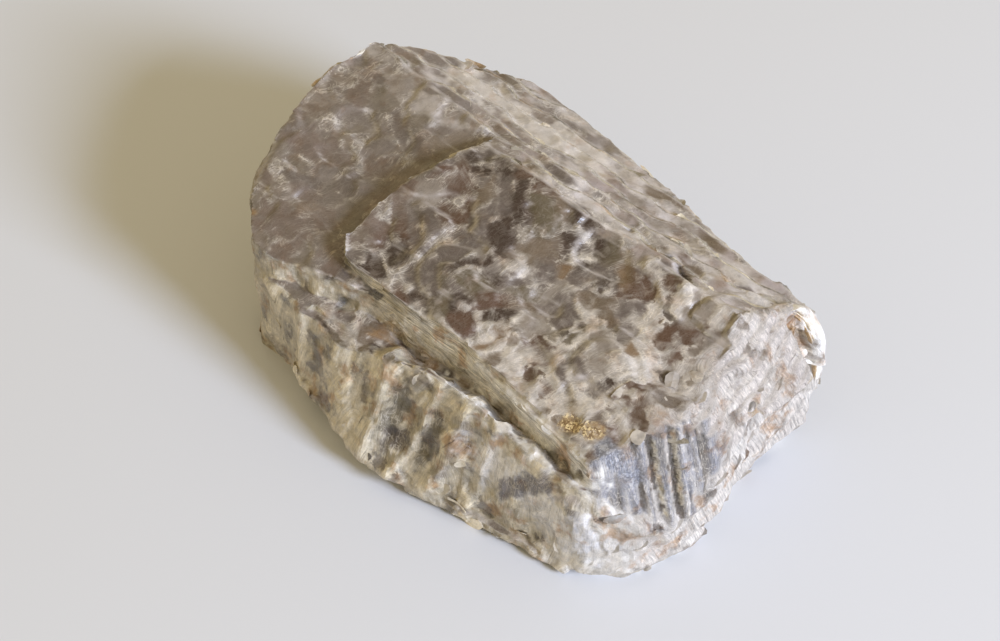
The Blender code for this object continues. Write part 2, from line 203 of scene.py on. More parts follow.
blocks = {
    "outline": (
        (-39.2, -28.7), (-34.2, -28.7), (-25.2, -26.7), (-16.2, -24.7), (-12.2, -23.1), (7.8, -22.5),
        (30.8, -25.1), (38.8, -26.3), (44.6, -28.1), (50.8, -24.7), (55.8, -16.1), (57.2, -10.0),
        (57.2, -4.0), (54.4, 3.3), (53.0, 9.3), (53.4, 15.3), (54.6, 21.5), (55.6, 24.6), (52.6, 27.0),
        (39.8, 27.0), (31.3, 28.6), (16.3, 32.4), (-0.2, 36.9), (-16.7, 39.5), (-27.6, 39.6), (-36.6, 33.8),
        (-45.0, 28.3), (-50.4, 22.9), (-53.0, 18.3), (-54.4, 10.7), (-54.6, 3.3), (-53.6, -5.3),
        (-51.2, -11.7), (-49.6, -15.7), (-46.8, -20.1), (-44.2, -23.7),
    ),
    "pushes": (
        ((-50.7, 0.0, 0.0), (-1.0, -0.1, -0.75)), ((-44.0, 25.5, 0.0), (-0.7, 0.7, -0.8)),
        ((0.0, 31.3, 0.0), (0.15, 1.0, -0.6)), ((51.4, 0.0, 0.0), (1.0, 0.0, -0.85)),
        (sheets["flutedPoint"], sheets["flutedNormal"]),
    ),
    "book": (
        (-23.6, -19.0), (-20.6, -22.6), (-12.6, -22.9), (-6.5, -23.0), (0.7, -22.9), (10.0, -22.3),
        (21.0, -23.5), (33.0, -25.0), (40.0, -26.0), (46.6, -25.2), (51.0, -20.0), (57.0, -10.0),
        (57.0, 16.0), (-16.0, 16.0), (-16.3, 10.9), (-19.5, 3.2), (-22.6, -4.5),
    ),
    "girth": (
        (-39.2, -29.3, 4), (-27.2, -31.9, 4), (-18.2, -34.9, 4), (-9.2, -37.7, 4.5), (1.8, -38.5, 4.5),
        (9.8, -37.1, 4.5), (17.8, -35.3, 4.5), (26.8, -32.7, 4), (33.8, -31.7, 3.5), (39.1, -31.6, 3),
        (45.8, -30.2, 2), (52.2, -24.7, 2.5), (55.8, -15.1, 3),
    ),
    "shoulder": (  # last value: how far the shelf behind it rises, or falls into the notch under the book
        (-39.2, -29.4, 23, 3), (-29.2, -30.1, 22.5, 4), (-20.2, -30.5, 21.5, 4), (-11.2, -30.9, 21.5, 2),
        (-1.2, -29.4, 25, -7), (5.8, -28.2, 26.6, -9), (13.8, -28.0, 26.8, -9), (22.8, -28.2, 26, -9),
        (30.8, -28.6, 25, -8), (35.8, -28.8, 24.4, -6), (43.8, -29.2, 23.8, -4), (50.4, -26.7, 19.6, -4),
        (55.8, -19.3, 12.5, -2),
    ),
    "shelfDepth": 8.5,
    "bodyDepth": 14.0,
    "footInset": 5.0,
    "shingles": (
        (((39.6, 5.0), (39.4, 8.5), (40.6, 13.0), (42.4, 18.0), (46.0, 24.5)), 0.8),
        (((46.6, 5.0), (46.4, 10.0), (47.6, 17.0), (49.0, 24.0)), 1.8),
    ),
    "shingleDepth": 3.0,
    "curl": ((43.3, 27.0), (48.4, 27.9), (52.8, 27.4), (55.2, 25.6)),
    "curlThickness": 1.7,
    "curlLow": 12.0,
    "curlHigh": 31.8,
    "curlFall": 0.65,
    "ledges": (  # corners, height at the middle, thickness
        (
            ((-22.2, -34.1), (-10.2, -37.7), (2.8, -38.9), (15.8, -36.1), (15.8, -28.7), (-22.2, -28.7)),
            14.2, 1.8,
        ),
        (((7.8, -37.5), (21.8, -34.7), (34.8, -32.7), (42.8, -31.5), (41.8, -24.7), (7.8, -28.7)), 12.0, 1.8),
        (((-33.2, 40.3), (-14.2, 40.7), (1.8, 37.3), (1.8, 27.3), (-32.2, 29.3)), 6.0, 5.0),
        (((5.8, 35.5), (23.8, 31.9), (41.8, 28.9), (41.8, 19.3), (5.8, 25.3)), 8.5, 4.0),
        (((-54.8, -6.7), (-55.4, 3.3), (-54.8, 12.3), (-46.2, 13.3), (-46.2, -6.7)), 22.0, 4.5),
        (((-51.2, 25.3), (-40.6, 36.1), (-24.2, 40.9), (-24.2, 31.3), (-42.2, 17.3)), 15.0, 4.0),
    ),
    "ledgeLowest": (1.2, 0.6), "thinnest": 0.5, "shingleSpacing": 0.7, "ledgeSpacing": 0.9,
    "grain": 0.56,
    "flatFoot": 0.4, "proudOfBox": 0.5, "looseProudOfBox": 0.4,
}


def lowest(*names):
    # The height of the lowest of the named sheets over each point.
    return lambda x, y: np.minimum.reduce([level(sheets[name], x, y) for name in names])


def bookBlocks():
    # The block, the book on it, the shingles at the end and the ledges low down, each between two sheets.
    bookTop = lowest("plate", "flank", "bevel")
    _, dipX, dipY = sheets["plate"]
    thinnest, (topLeast, footLeast) = blocks["thinnest"], blocks["ledgeLowest"]
    blockTop = lowest("plateau", "flank", "bevel")
    pieces = [standingBlock(blocks["outline"], blockTop, lambda x, y: 0 * x, blocks["pushes"])]

    def under(plane, depth):
        return lambda x, y: np.minimum(level(plane, x, y) - depth, bookTop(x, y) - thinnest)

    def dipping(height, least):
        return lambda x, y: np.maximum(level((height, dipX, dipY), x, y), least)

    bookFoot = under(sheets["plate"], sheets["bookThickness"])
    pieces.append(standingBlock(blocks["book"], bookTop, bookFoot, blocks["pushes"][-1:]))
    foot = under(sheets["flank"], blocks["shingleDepth"])
    for edge, rise in blocks["shingles"]:
        corners = [(58.0, edge[0][1]), (58.0, edge[-1][1])] + list(edge)[::-1]
        top = lambda x, y, rise=rise: bookTop(x, y) + rise
        pieces.append(standingBlock(corners, top, foot, spacing=blocks["shingleSpacing"]))
    for corners, height, thick in blocks["ledges"]:
        top, foot = dipping(height, topLeast), dipping(height - thick, footLeast)
        pieces.append(standingBlock(corners, top, foot, spacing=blocks["ledgeSpacing"]))
    return pieces


def frontBody():
    # The profile foot, girth, shoulder, shelf and back, carried along the front.
    stations = []
    for (x, y, z), (topX, topY, topZ, rise) in zip(blocks["girth"], blocks["shoulder"]):
        back = topY + blocks["bodyDepth"]
        stations.append([
            (topX, back, 0), (x, y + blocks["footInset"], 0), (x, y, z), (topX, topY, topZ),
            (topX, topY + blocks["shelfDepth"], topZ + rise),
        ])
    return carriedProfile(stations)


def curlWall():
    # An upright strip: a thin box profile carried along the curl's path.
    path = np.array(blocks["curl"])
    along = np.gradient(path, axis=0)
    side = np.stack([-along[:, 1], along[:, 0]], axis=1)
    side *= blocks["curlThickness"] / 2 / np.linalg.norm(side, axis=1)[:, None]
    stations = []
    for at, off in zip(path, side):
        top = blocks["curlHigh"] - blocks["curlFall"] * (at[0] - path[0, 0])
        inner, outer = at - off, at + off
        low = blocks["curlLow"]
        stations.append([(*inner, low), (*outer, low), (*outer, top), (*inner, top)])
    return carriedProfile(stations)


def meshFrom(name, points, faces):
    mesh = bpy.data.meshes.new(name)
    mesh.from_pydata((points * mm).tolist(), [], faces)
    mesh.update()
    return mesh


def fusedSkin(name, pieces, grain):
    # All the blocks in one mesh, remeshed as a single skin whose faces are one grain across.
    points, faces, start = [], [], 0
    for some, its in pieces:
        points.append(some)
        faces += [[i + start for i in face] for face in its]
        start += len(some)
    rough = bpy.data.objects.new(name, meshFrom(name, np.concatenate(points), faces))
    bpy.context.scene.collection.objects.link(rough)
    remesh = rough.modifiers.new("oneSkin", "REMESH")
    remesh.mode = "VOXEL"
    remesh.voxel_size = grain * mm
    remesh.adaptivity = 0.0
    bpy.context.view_layer.update()
    skin = bpy.data.meshes.new_from_object(rough.evaluated_get(bpy.context.evaluated_depsgraph_get()))
    bpy.data.objects.remove(rough)
    skin.name = name
    return skin


def readPoints(mesh, field, scale=1.0):
    values = np.empty(len(mesh.vertices) * 3, np.float32)
    mesh.vertices.foreach_get(field, values)
    return values.reshape(-1, 3).astype(float) / scale


def writePoints(mesh, points):
    mesh.vertices.foreach_set("co", (points * mm).astype(np.float32).ravel())
    mesh.update()


def eased(mesh, points, rounds):
    # Each round moves every point halfway to the mean of the points it shares an edge with.
    ends = np.empty(len(mesh.edges) * 2, np.int32)
    mesh.edges.foreach_get("vertices", ends)
    first, second = ends.reshape(-1, 2).T
    count = np.bincount(ends, minlength=len(points))[:, None]
    for _ in range(rounds):
        total = np.zeros_like(points)
        for axis in range(3):
            total[:, axis] += np.bincount(first, points[second, axis], len(points))
            total[:, axis] += np.bincount(second, points[first, axis], len(points))
        points = 0.5 * points + 0.5 * total / count
    return points


def addAttribute(mesh, name, values):
    # One number or three for every vertex.
    kind = "FLOAT_VECTOR" if values.ndim == 2 else "FLOAT"
    field = "vector" if values.ndim == 2 else "value"
    mesh.attributes.new(name, kind, "POINT").data.foreach_set(field, values.astype(np.float32).ravel())


# broad relief, the same as the solid's

relief = {
    "flakeWidth": (10.0, 7.0, 14.0), "flakeStep": 0.7, "sheet": 3.0, "sheetPlay": 1.35, "sheetStrip": 9.0,
    "terrace": (19.0, 12.0, 40.0), "terraceRise": 2.2, "flakeRise": 0.9, "terraceEdge": (0.4, 0.6),
    "flutes": (  # place along the end at z 30, lean, half width, depth
        (-0.4, 0.07, 0.8, 1.0), (1.9, 0.11, 0.8, 1.5), (5.7, 0.08, 0.8, 1.5), (9.2, 0.12, 0.8, 0.8),
        (12.2, 0.15, 0.8, 0.6),
    ),
    "fluteSway": 0.6, "fluteTop": 30,
    "lumpSize": 17.0, "lumpHeight": 0.9, "grainSize": 5.5, "grainHeight": 0.4,
    "warpSize": 8.0, "swaySize": 12.0, "flakeWarp": 2.6, "slopeWarp": 2.4, "wallWarp": 1.2, "slopeRise": 0.65,
    "pleats": (  # x at z 15, how proud, half width, lean
        (-33.0, 0.9, 3.0, 0.1), (-23.5, 1.3, 1.8, 0.0), (-10.5, 1.0, 4.0, -0.5), (-2.2, 1.8, 1.9, -0.05),
        (7.2, 1.2, 1.1, 0.24), (14.9, 1.7, 1.9, 0.2), (22.2, 1.0, 1.3, 0.13), (30.5, 1.3, 5.5, 0.0),
        (43.0, 1.3, 3.5, -0.4),
    ),
    "pleatMiddle": 15, "pleatSway": 1.6, "pleatPower": 1.5, "pleatMean": 0.6,
    "pleatFoot": (1.0, 7.0), "pleatTop": (23.0, 28.0),
    "slotY": 21.4, "slotHalf": 1.3, "slotSway": 0.4, "slotDepth": 4.5, "slotFrom": (46, 49),
    "slotFoot": (12.0, 17.0), "slotTop": (28.0, 32.0), "slotOut": (1, 0.1, 0),
    "stillBelow": (0.4, 2.5),
}

regions = {
    # Where each part starts and where it is whole. Facing is the cosine between a face and the sheets' own.
    "frontY": (-22, -26), "frontFacing": (0.8, 0.92), "frontZ": (26, 29),
    "flutedBand": (1.0, 2.0), "flutedFacing": (0.75, 0.9), "flutedFoot": (66.5, 69.5),
    "flatFacing": (0.86, 0.96), "slopeFacing": (0.35, 0.6), "slopeEnd": (0.86, 0.94), "offFront": 0.85,
    "endNormal": (1.45, 0.05, 1.0), "endFacing": (0.35, 0.7), "endX": (44, 50), "topOnEnd": 0.8,
    "topFacing": (0.6, 0.74), "flankFacing": (0.84, 0.93), "overPlate": (0.8, -0.8), "plateauX": (-10, -18),
    "toeX": (34, 44), "toeZ": (24, 18), "toeOnEnd": 0.45, "nearX": (6, 34), "cornerX": (20, 48),
}


def places(points, normals):
    # Which part of the book each point belongs to, as weights from 0 to 1.
    x, y, z = points.T
    facing = normals @ cleavage
    front = ease(*regions["frontY"], y) * (1 - ease(*regions["frontFacing"], facing))
    front *= 1 - ease(*regions["frontZ"], z + 0.05 * x)
    along = 0.5 * (x - 48) + 0.87 * (y + 19)
    ahead = (points - sheets["flutedPoint"]) @ flutedNormal
    fluted = (1 - ease(*regions["flutedBand"], np.abs(ahead))) * ease(*regions["flutedFoot"], z + x)
    fluted *= ease(*regions["flutedFacing"], normals @ flutedNormal)
    return facing, front, fluted, along


def pleatFold(points, sway):
    # A crest for each pleat, proud * exp(-|offset|^1.5), leaning on the way down.
    x, z = points[:, 0], points[:, 2]
    fold = np.zeros(len(x))
    for centre, proud, half, lean in relief["pleats"]:
        offset = np.abs(x - centre - lean * (z - relief["pleatMiddle"]) + relief["pleatSway"] * sway) / half
        fold += proud * np.exp(-(offset ** relief["pleatPower"]))
    return fold


def fluteGroove(points, along, sway):
    # A bell curve for each groove down the fluted end.
    groove = np.zeros(len(along))
    for centre, lean, half, depth in relief["flutes"]:
        down = relief["fluteTop"] - points[:, 2]
        offset = (along - centre - lean * down + relief["fluteSway"] * sway) / half
        groove += depth * np.exp(-offset * offset)
    return groove


def stepped(height, low, high):
    # The height drawn into level treads, with a smooth riser where its fraction runs from low to high.
    return np.floor(height) + ease(low, high, height % 1.0)


def broadRelief(points, normals):
    # Lumps and grain along the normal; flat flakes and sheet ends across the sheets; sheet edges on the walls;
    # pleats down the front, flutes down the end and one slot.
    x, y, z = points.T
    across = points @ cleavage
    facing, front, fluted, along = places(points, normals)
    warp = np.stack([layeredNoise(points / relief["warpSize"] + 31 * k, 40 + k) for k in range(3)], axis=1)
    sway = softNoise(points / relief["swaySize"], 44)
    inSheet = np.stack([x, y, across], axis=1)
    move = normals * (relief["lumpHeight"] * layeredNoise(points / relief["lumpSize"], 3))[:, None]
    move += normals * (relief["grainHeight"] * layeredNoise(points / relief["grainSize"], 5, 2))[:, None]

    onFace = ease(*regions["flatFacing"], facing)
    flake, _ = flakeCells((inSheet + relief["flakeWarp"] * warp) / relief["flakeWidth"], 11)
    height = relief["terraceRise"] * layeredNoise(inSheet / relief["terrace"], 71, 2)
    height += relief["flakeRise"] * flake
    terrace = stepped(height, *relief["terraceEdge"])
    move += np.outer(onFace * relief["flakeStep"] * (terrace - 0.4), cleavage)

    offFront = 1 - regions["offFront"] * front
    onSlope = ease(*regions["slopeFacing"], facing) * (1 - ease(*regions["slopeEnd"], facing)) * offFront
    shifted = (across + relief["slopeWarp"] * warp[:, 0]) / relief["sheet"]
    rise = (stepped(shifted, 0.35, 0.65) - shifted) * relief["sheet"]
    move += np.outer(onSlope * relief["slopeRise"] * rise, cleavage)

    onWall = (1 - ease(*regions["slopeFacing"], np.abs(facing))) * offFront * (1 - fluted)
    layer = np.floor((across + relief["wallWarp"] * warp[:, 1]) / relief["sheet"])
    strip = np.stack([x / relief["sheetStrip"], y / relief["sheetStrip"], layer * 3.7], axis=1)
    move += normals * (onWall * relief["sheetPlay"] * layeredNoise(strip, 23, 2))[:, None]

    down = ease(*relief["pleatFoot"], z) * (1 - ease(*relief["pleatTop"], z))
    move += normals * (front * down * (pleatFold(points, sway) - relief["pleatMean"]))[:, None]
    move -= normals * (fluted * fluteGroove(points, along, sway))[:, None]

    offset = (y - relief["slotY"] + relief["slotSway"] * sway) / relief["slotHalf"]
    slot = np.exp(-offset * offset) * ease(*relief["slotFrom"], x)
    slot *= ease(*relief["slotFoot"], z) * (1 - ease(*relief["slotTop"], z))
    move -= np.outer(slot * relief["slotDepth"], relief["slotOut"])
    return move * ease(*relief["stillBelow"], z)[:, None]


def toLinear(code):
    # sRGB hex to linear: divide by 12.92 below 0.04045, otherwise ((c + 0.055) / 1.055) to the power 2.4.
    values = [int(code[i:i + 2], 16) / 255 for i in (1, 3, 5)]
    return (*[v / 12.92 if v <= 0.04045 else ((v + 0.055) / 1.055) ** 2.4 for v in values], 1.0)


# clear panes, bruised web and fine relief

tints = {
    "dark": "#3a2b26", "brown": "#563f33", "grey": "#635852", "olive": "#605544", "tan": "#6f6051",
    # The near-black tint at the end of the next line is painted shade for holes and cracks.
    "gold": "#7c664f", "pale": "#887d72", "pink": "#a0938d", "holeShade": "#262425",
    "webPlate": "#6d6158", "webPlateau": "#8c8177", "webFlank": "#c0b7b0", "webCream": "#c0b7ac",
    "wall": "#8d8376", "wallPale": "#ada497", "facet": "#5f5747", "facetPale": "#8f8779",
    "cream": "#d6cab0", "endPale": "#bdb5aa", "endPink": "#a69a92", "fluteBlue": "#858489",
    # The grey-blue silver tint on the next line is a painted sheen.
    "fluteTan": "#5d554b", "silverSheen": "#7f8088", "rust": "#9a7648", "lens": "#574f52", "ash": "#b0aca4",
    "brass": "#a98d66", "bookEdge": "#eae6df", "frontPale": "#e4e2e4", "flankPale": "#d8cfc3",
    "goldSheet": "#c9a878",
}

panes = {
    # Whole sheets seen through the bruised top, by tint: x, y, half length, half width, turn in degrees.
    "plate": {
        "brown": (
            (-21, -14.5, 2.5, 2, 175), (-19, -8, 4, 2, 95), (-19.5, -4.5, 2.5, 2, 115), (-12, 1, 5, 2.2, 125),
            (-10.5, -4, 2.5, 2, 105), (1, 9, 2.5, 1.5, 135), (-3.5, 10, 2.5, 1.5, 95),
            (9.5, -13.5, 3, 1.5, 35), (35, 2.5, 1.5, 1.5, 140), (42, 2, 3, 2.5, 30),
            (22.5, -16.5, 4.5, 2.5, 50), (29.5, -20.5, 3, 1.5, 55), (41.5, -14, 3.5, 1.5, 60),
            (43.5, -3, 2, 1.5, 105),
        ),
        "dark": (
            (-14.5, -21, 3.5, 2.5, 135), (-13.5, -16.5, 2.5, 2, 115), (-12, 8, 2, 2, 175),
            (-11.5, 5, 2, 1.5, 115), (-9.5, 9, 2.5, 1.5, 0), (-1, 6, 4.5, 2.2, 125), (2.5, 3, 2, 1.5, 100),
            (0.5, -2.5, 3.5, 2.5, 165), (0, -11.5, 3, 1.5, 60), (-2, -20, 2.5, 1.5, 0),
            (4, -18, 2.5, 1.5, 35), (11.5, 8.5, 3.5, 2.5, 140), (13.5, 4.5, 2.5, 2.5, 170),
            (16, 3, 3, 1.5, 155), (17, 7.5, 2, 1.5, 145), (22.5, 3, 3, 2, 35), (24.5, -8, 4.5, 1, 60),
            (11.5, -15.5, 4, 2, 45), (21.5, -17.5, 3, 1.5, 50), (28.5, -13, 2, 1, 45), (35.5, -11, 2, 1, 45),
            (37.5, -13.5, 4.5, 1, 40), (42, -7, 1.5, 1.2, 175), (45.5, -6, 1.5, 1, 95),
        ),
        "grey": (
            (-13.5, -9.5, 5.5, 1.2, 140), (-11.5, -8, 3, 1.5, 120), (-4.5, 4.5, 3, 2, 110),
            (-5.5, -2, 3, 1.5, 80), (-6, -6, 2.5, 1.5, 45), (-4, -8.5, 4, 2.5, 30), (-4.5, -15, 3, 3, 170),
            (9, -6.5, 2.5, 1.5, 60), (19, 1.5, 3.5, 2, 45), (8, -6, 2, 2, 25), (19.5, -7.5, 4, 2.5, 45),
            (30, -0.5, 2.5, 2.5, 175), (32.5, -3.5, 3, 2.5, 60), (41, -18, 2, 1, 45),
        ),
        "pale": ((-16, -2.5, 3, 2, 100), (0, -7, 2, 1.5, 15), (15.5, -5, 2.5, 2, 30), (17.5, -12, 3, 2, 30)),
        "tan": (
            (-7.5, 2.5, 2.5, 1.5, 95), (7.5, -3, 3, 1.5, 60), (6, 9.5, 4, 1.2, 145), (8, -0.5, 3, 3, 65),
            (25, -2.5, 3.5, 2.5, 165), (35.5, -3, 2, 1.5, 105), (34, -19.5, 3, 1.2, 15), (53, -6, 3, 1.8, 80),
        ),
        "olive": (
            (4.5, 5, 4, 2.2, 140), (5.5, 2, 2.5, 2, 60), (4, -12, 3.5, 2.5, 65), (11.5, -8, 2.5, 1.5, 60),
            (25, -10.5, 3, 1.5, 70),
        ),
        "gold": (
            (25, 5, 2.5, 1.5, 145), (15, -0.5, 2.5, 1.5, 75), (36.5, -6, 2.5, 1.5, 60),
            (12.5, -19.5, 3, 1.8, 60),
        ),
    },
    "plateau": {
        "brown": (
            (-47, 8, 3.5, 3, 155), (-37, 1.5, 2, 1.5, 85), (-44, -5.5, 3.5, 2.5, 55), (-38, -4.5, 2, 1.5, 20),
            (-50, -5.5, 2.5, 2, 75), (-30.5, -3.5, 2.5, 2.5, 165), (-39.5, -15, 4.5, 1.5, 30),
            (-38, -22, 3, 2, 55), (-32.5, -17.5, 3, 2, 25),
        ),
        "olive": ((-49, 16, 2, 2, 155), (-51.5, -11.5, 2.5, 2, 20), (-42, 9, 3.5, 2.5, 160)),
        "dark": (
            (-45, 12.5, 1.5, 1, 20), (-33, -7.5, 3, 2.2, 150), (-40.5, -12.5, 3, 1.5, 30),
            (-33, 6.5, 2.5, 2.5, 5), (-27.5, 4.5, 2, 1.5, 175),
        ),
        "pale": ((-39.5, 13.5, 2.5, 2.5, 0), (-49, 2.5, 3.5, 1.5, 20)),
        "tan": ((-43.5, 22, 3.5, 2.5, 135), (-23, 8.5, 3.5, 2, 60)),
        "grey": (
            (-46.5, -0.5, 2, 1.5, 15), (-45, 3, 4, 1.5, 15), (-38, -8.5, 2.5, 2, 15), (-28, 9.5, 2.5, 2, 170),
            (-30, -14.5, 2, 1.5, 165),
        ),
    },
    "flank": {
        "grey": (
            (-18.5, 37, 4, 2, 165), (-8.5, 35.5, 4, 2, 145), (-8.5, 28, 3, 2, 135),
            (21.5, 20.5, 3.5, 1.5, 10), (28, 10.5, 2.5, 1.5, 0),
        ),
        "olive": ((-31, 35, 3.5, 2.5, 110),),
        "pale": ((-28, 29, 3.5, 3.5, 150), (-13.5, 24.5, 5, 3, 165), (20, 19, 3, 1.5, 90)),
        "brown": ((-18.5, 11, 5.5, 1.5, 105), (25, 20, 3, 1.5, 0), (29, 17.6, 3.4, 1, 10)),
        "pink": ((3.5, 24.5, 5, 3.5, 110), (32.5, 24, 3.5, 2, 110), (37, 14.5, 5.5, 2, 85)),
        # Long thin near-black panes: painted shade in the cracks under the flank's ledges.
        "holeShade": ((20.4, 15.6, 3, 0.9, 170), (27, 13.2, 3.6, 0.8, 165), (34, 11.6, 3.2, 0.7, 160)),
        "tan": ((33, 14.6, 3, 1.5, 10), (28.5, 27, 4.5, 2.5, 115)),
        "webCream": ((38, 22, 4, 2.5, 10),),
    },
    "between": 5.2, "clearOf": 1.15,  # spacing of the unnamed panes, and how far they keep from the named ones
    "filler": {  # tints of the unnamed panes by place
        "plate": ("grey", "brown", "tan", "olive", "dark", "grey"),
        "corner": ("tan", "pale", "grey", "webPlate", "brown"), "plateau": ("grey", "brown", "tan", "olive"),
        "flank": ("pink", "pale", "tan", "webFlank", "grey"),
    },
    "fillerSize": {  # half length and width with their play, and how far they turn
        "flank": ((3.2, 3.4), (1.0, 0.9), 16), "top": ((2.2, 2.6), (1.4, 1.2), 180),
    },
    "plateauX": -20, "corner": 34, "warp": 1.5, "bend": 2.6, "bendSize": 6.0, "ragged": 0.35, "raggedSize": 1.9,
    "blend": 0.6, "reach": 2.0, "recess": 0.1, "voidRecess": 1.1,
}


def fillerPanes(placed):
    # A jittered grid of small panes wherever no named pane reaches.
    spacing = panes["between"]
    x, y = np.meshgrid(np.arange(-60, 62, spacing), np.arange(-42, 44, spacing))
    cell = np.stack([np.arange(x.size), np.arange(x.size) * 0, np.arange(x.size) * 0], axis=1)
    draw = [cellNumber(cell, 300 + k) for k in range(5)]
    x = x.ravel() + spacing * (draw[0] - 0.5)
    y = y.ravel() + spacing * (draw[1] - 0.5)
    near = np.full(x.size, 9.0)
    for atX, atY, long, short, _, _ in placed:
        near = np.minimum(near, np.hypot(x - atX, y - atY) / (0.5 * (long + short)))
    fill = []
    for i in np.flatnonzero(near > panes["clearOf"]):
        onFlank = level(sheets["flank"], x[i], y[i]) < level(sheets["plate"], x[i], y[i])
        onPlateau, nearCorner = x[i] < panes["plateauX"], x[i] - y[i] > panes["corner"]
        place = "flank" if onFlank else "plateau" if onPlateau else "corner" if nearCorner else "plate"
        names = panes["filler"][place]
        tint = names[int(draw[3][i] * 97) % len(names)]
        (long, longPlay), (short, shortPlay), turn = panes["fillerSize"]["flank" if onFlank else "top"]
        size = (long + longPlay * draw[2][i], short + shortPlay * draw[3][i], turn * draw[4][i])
        fill.append((x[i], y[i], *size, tint))
    return fill


def paneMap(points, warp):
    # Every pane measures the distance to a point in its own half lengths; a point belongs to the nearest pane.
    # The field is how far, in mm, it lies inside that pane's own edge and inside the bound with the next pane.
    broad = [layeredNoise(points / panes["bendSize"], 146 + k, 3) for k in range(2)]
    x = points[:, 0] + panes["warp"] * warp[:, 0] + panes["bend"] * broad[0]
    y = points[:, 1] + panes["warp"] * warp[:, 1] + panes["bend"] * broad[1]
    ragged = 1 + panes["ragged"] * layeredNoise(points / panes["raggedSize"], 149, 2)
    placed = [
        (*pane, tint) for place in ("plate", "plateau", "flank")
        for tint, several in panes[place].items() for pane in several
    ]
    every = placed + fillerPanes(placed)
    nearest = np.full(len(x), 99.0)
    second = np.full(len(x), 99.0)
    owner = np.zeros(len(x), int)
    other = np.zeros(len(x), int)
    for i, (atX, atY, long, short, turn, _) in enumerate(every):
        c, s = math.cos(math.radians(turn)), math.sin(math.radians(turn))
        away = np.hypot(((x - atX) * c + (y - atY) * s) / long, ((y - atY) * c - (x - atX) * s) / short)
        closer = away < nearest
        other = np.where(closer, owner, np.where(away < second, i, other))
        second = np.where(closer, nearest, np.minimum(second, away))
        owner = np.where(closer, i, owner)
        nearest = np.minimum(nearest, away)
    half = np.array([pane[3] for pane in every])[owner]
    colour = np.array([toLinear(tints[pane[5]])[:3] for pane in every])
    colour = mixed(colour[other], colour[owner], 0.5 + 0.5 * ease(0, panes["blend"], second - nearest))
    isVoid = np.array([pane[5] == "holeShade" for pane in every])[owner]
    field = np.minimum((second - nearest) * 0.5 * ragged, panes["reach"] - nearest * ragged) * half
    return field, colour, isVoid


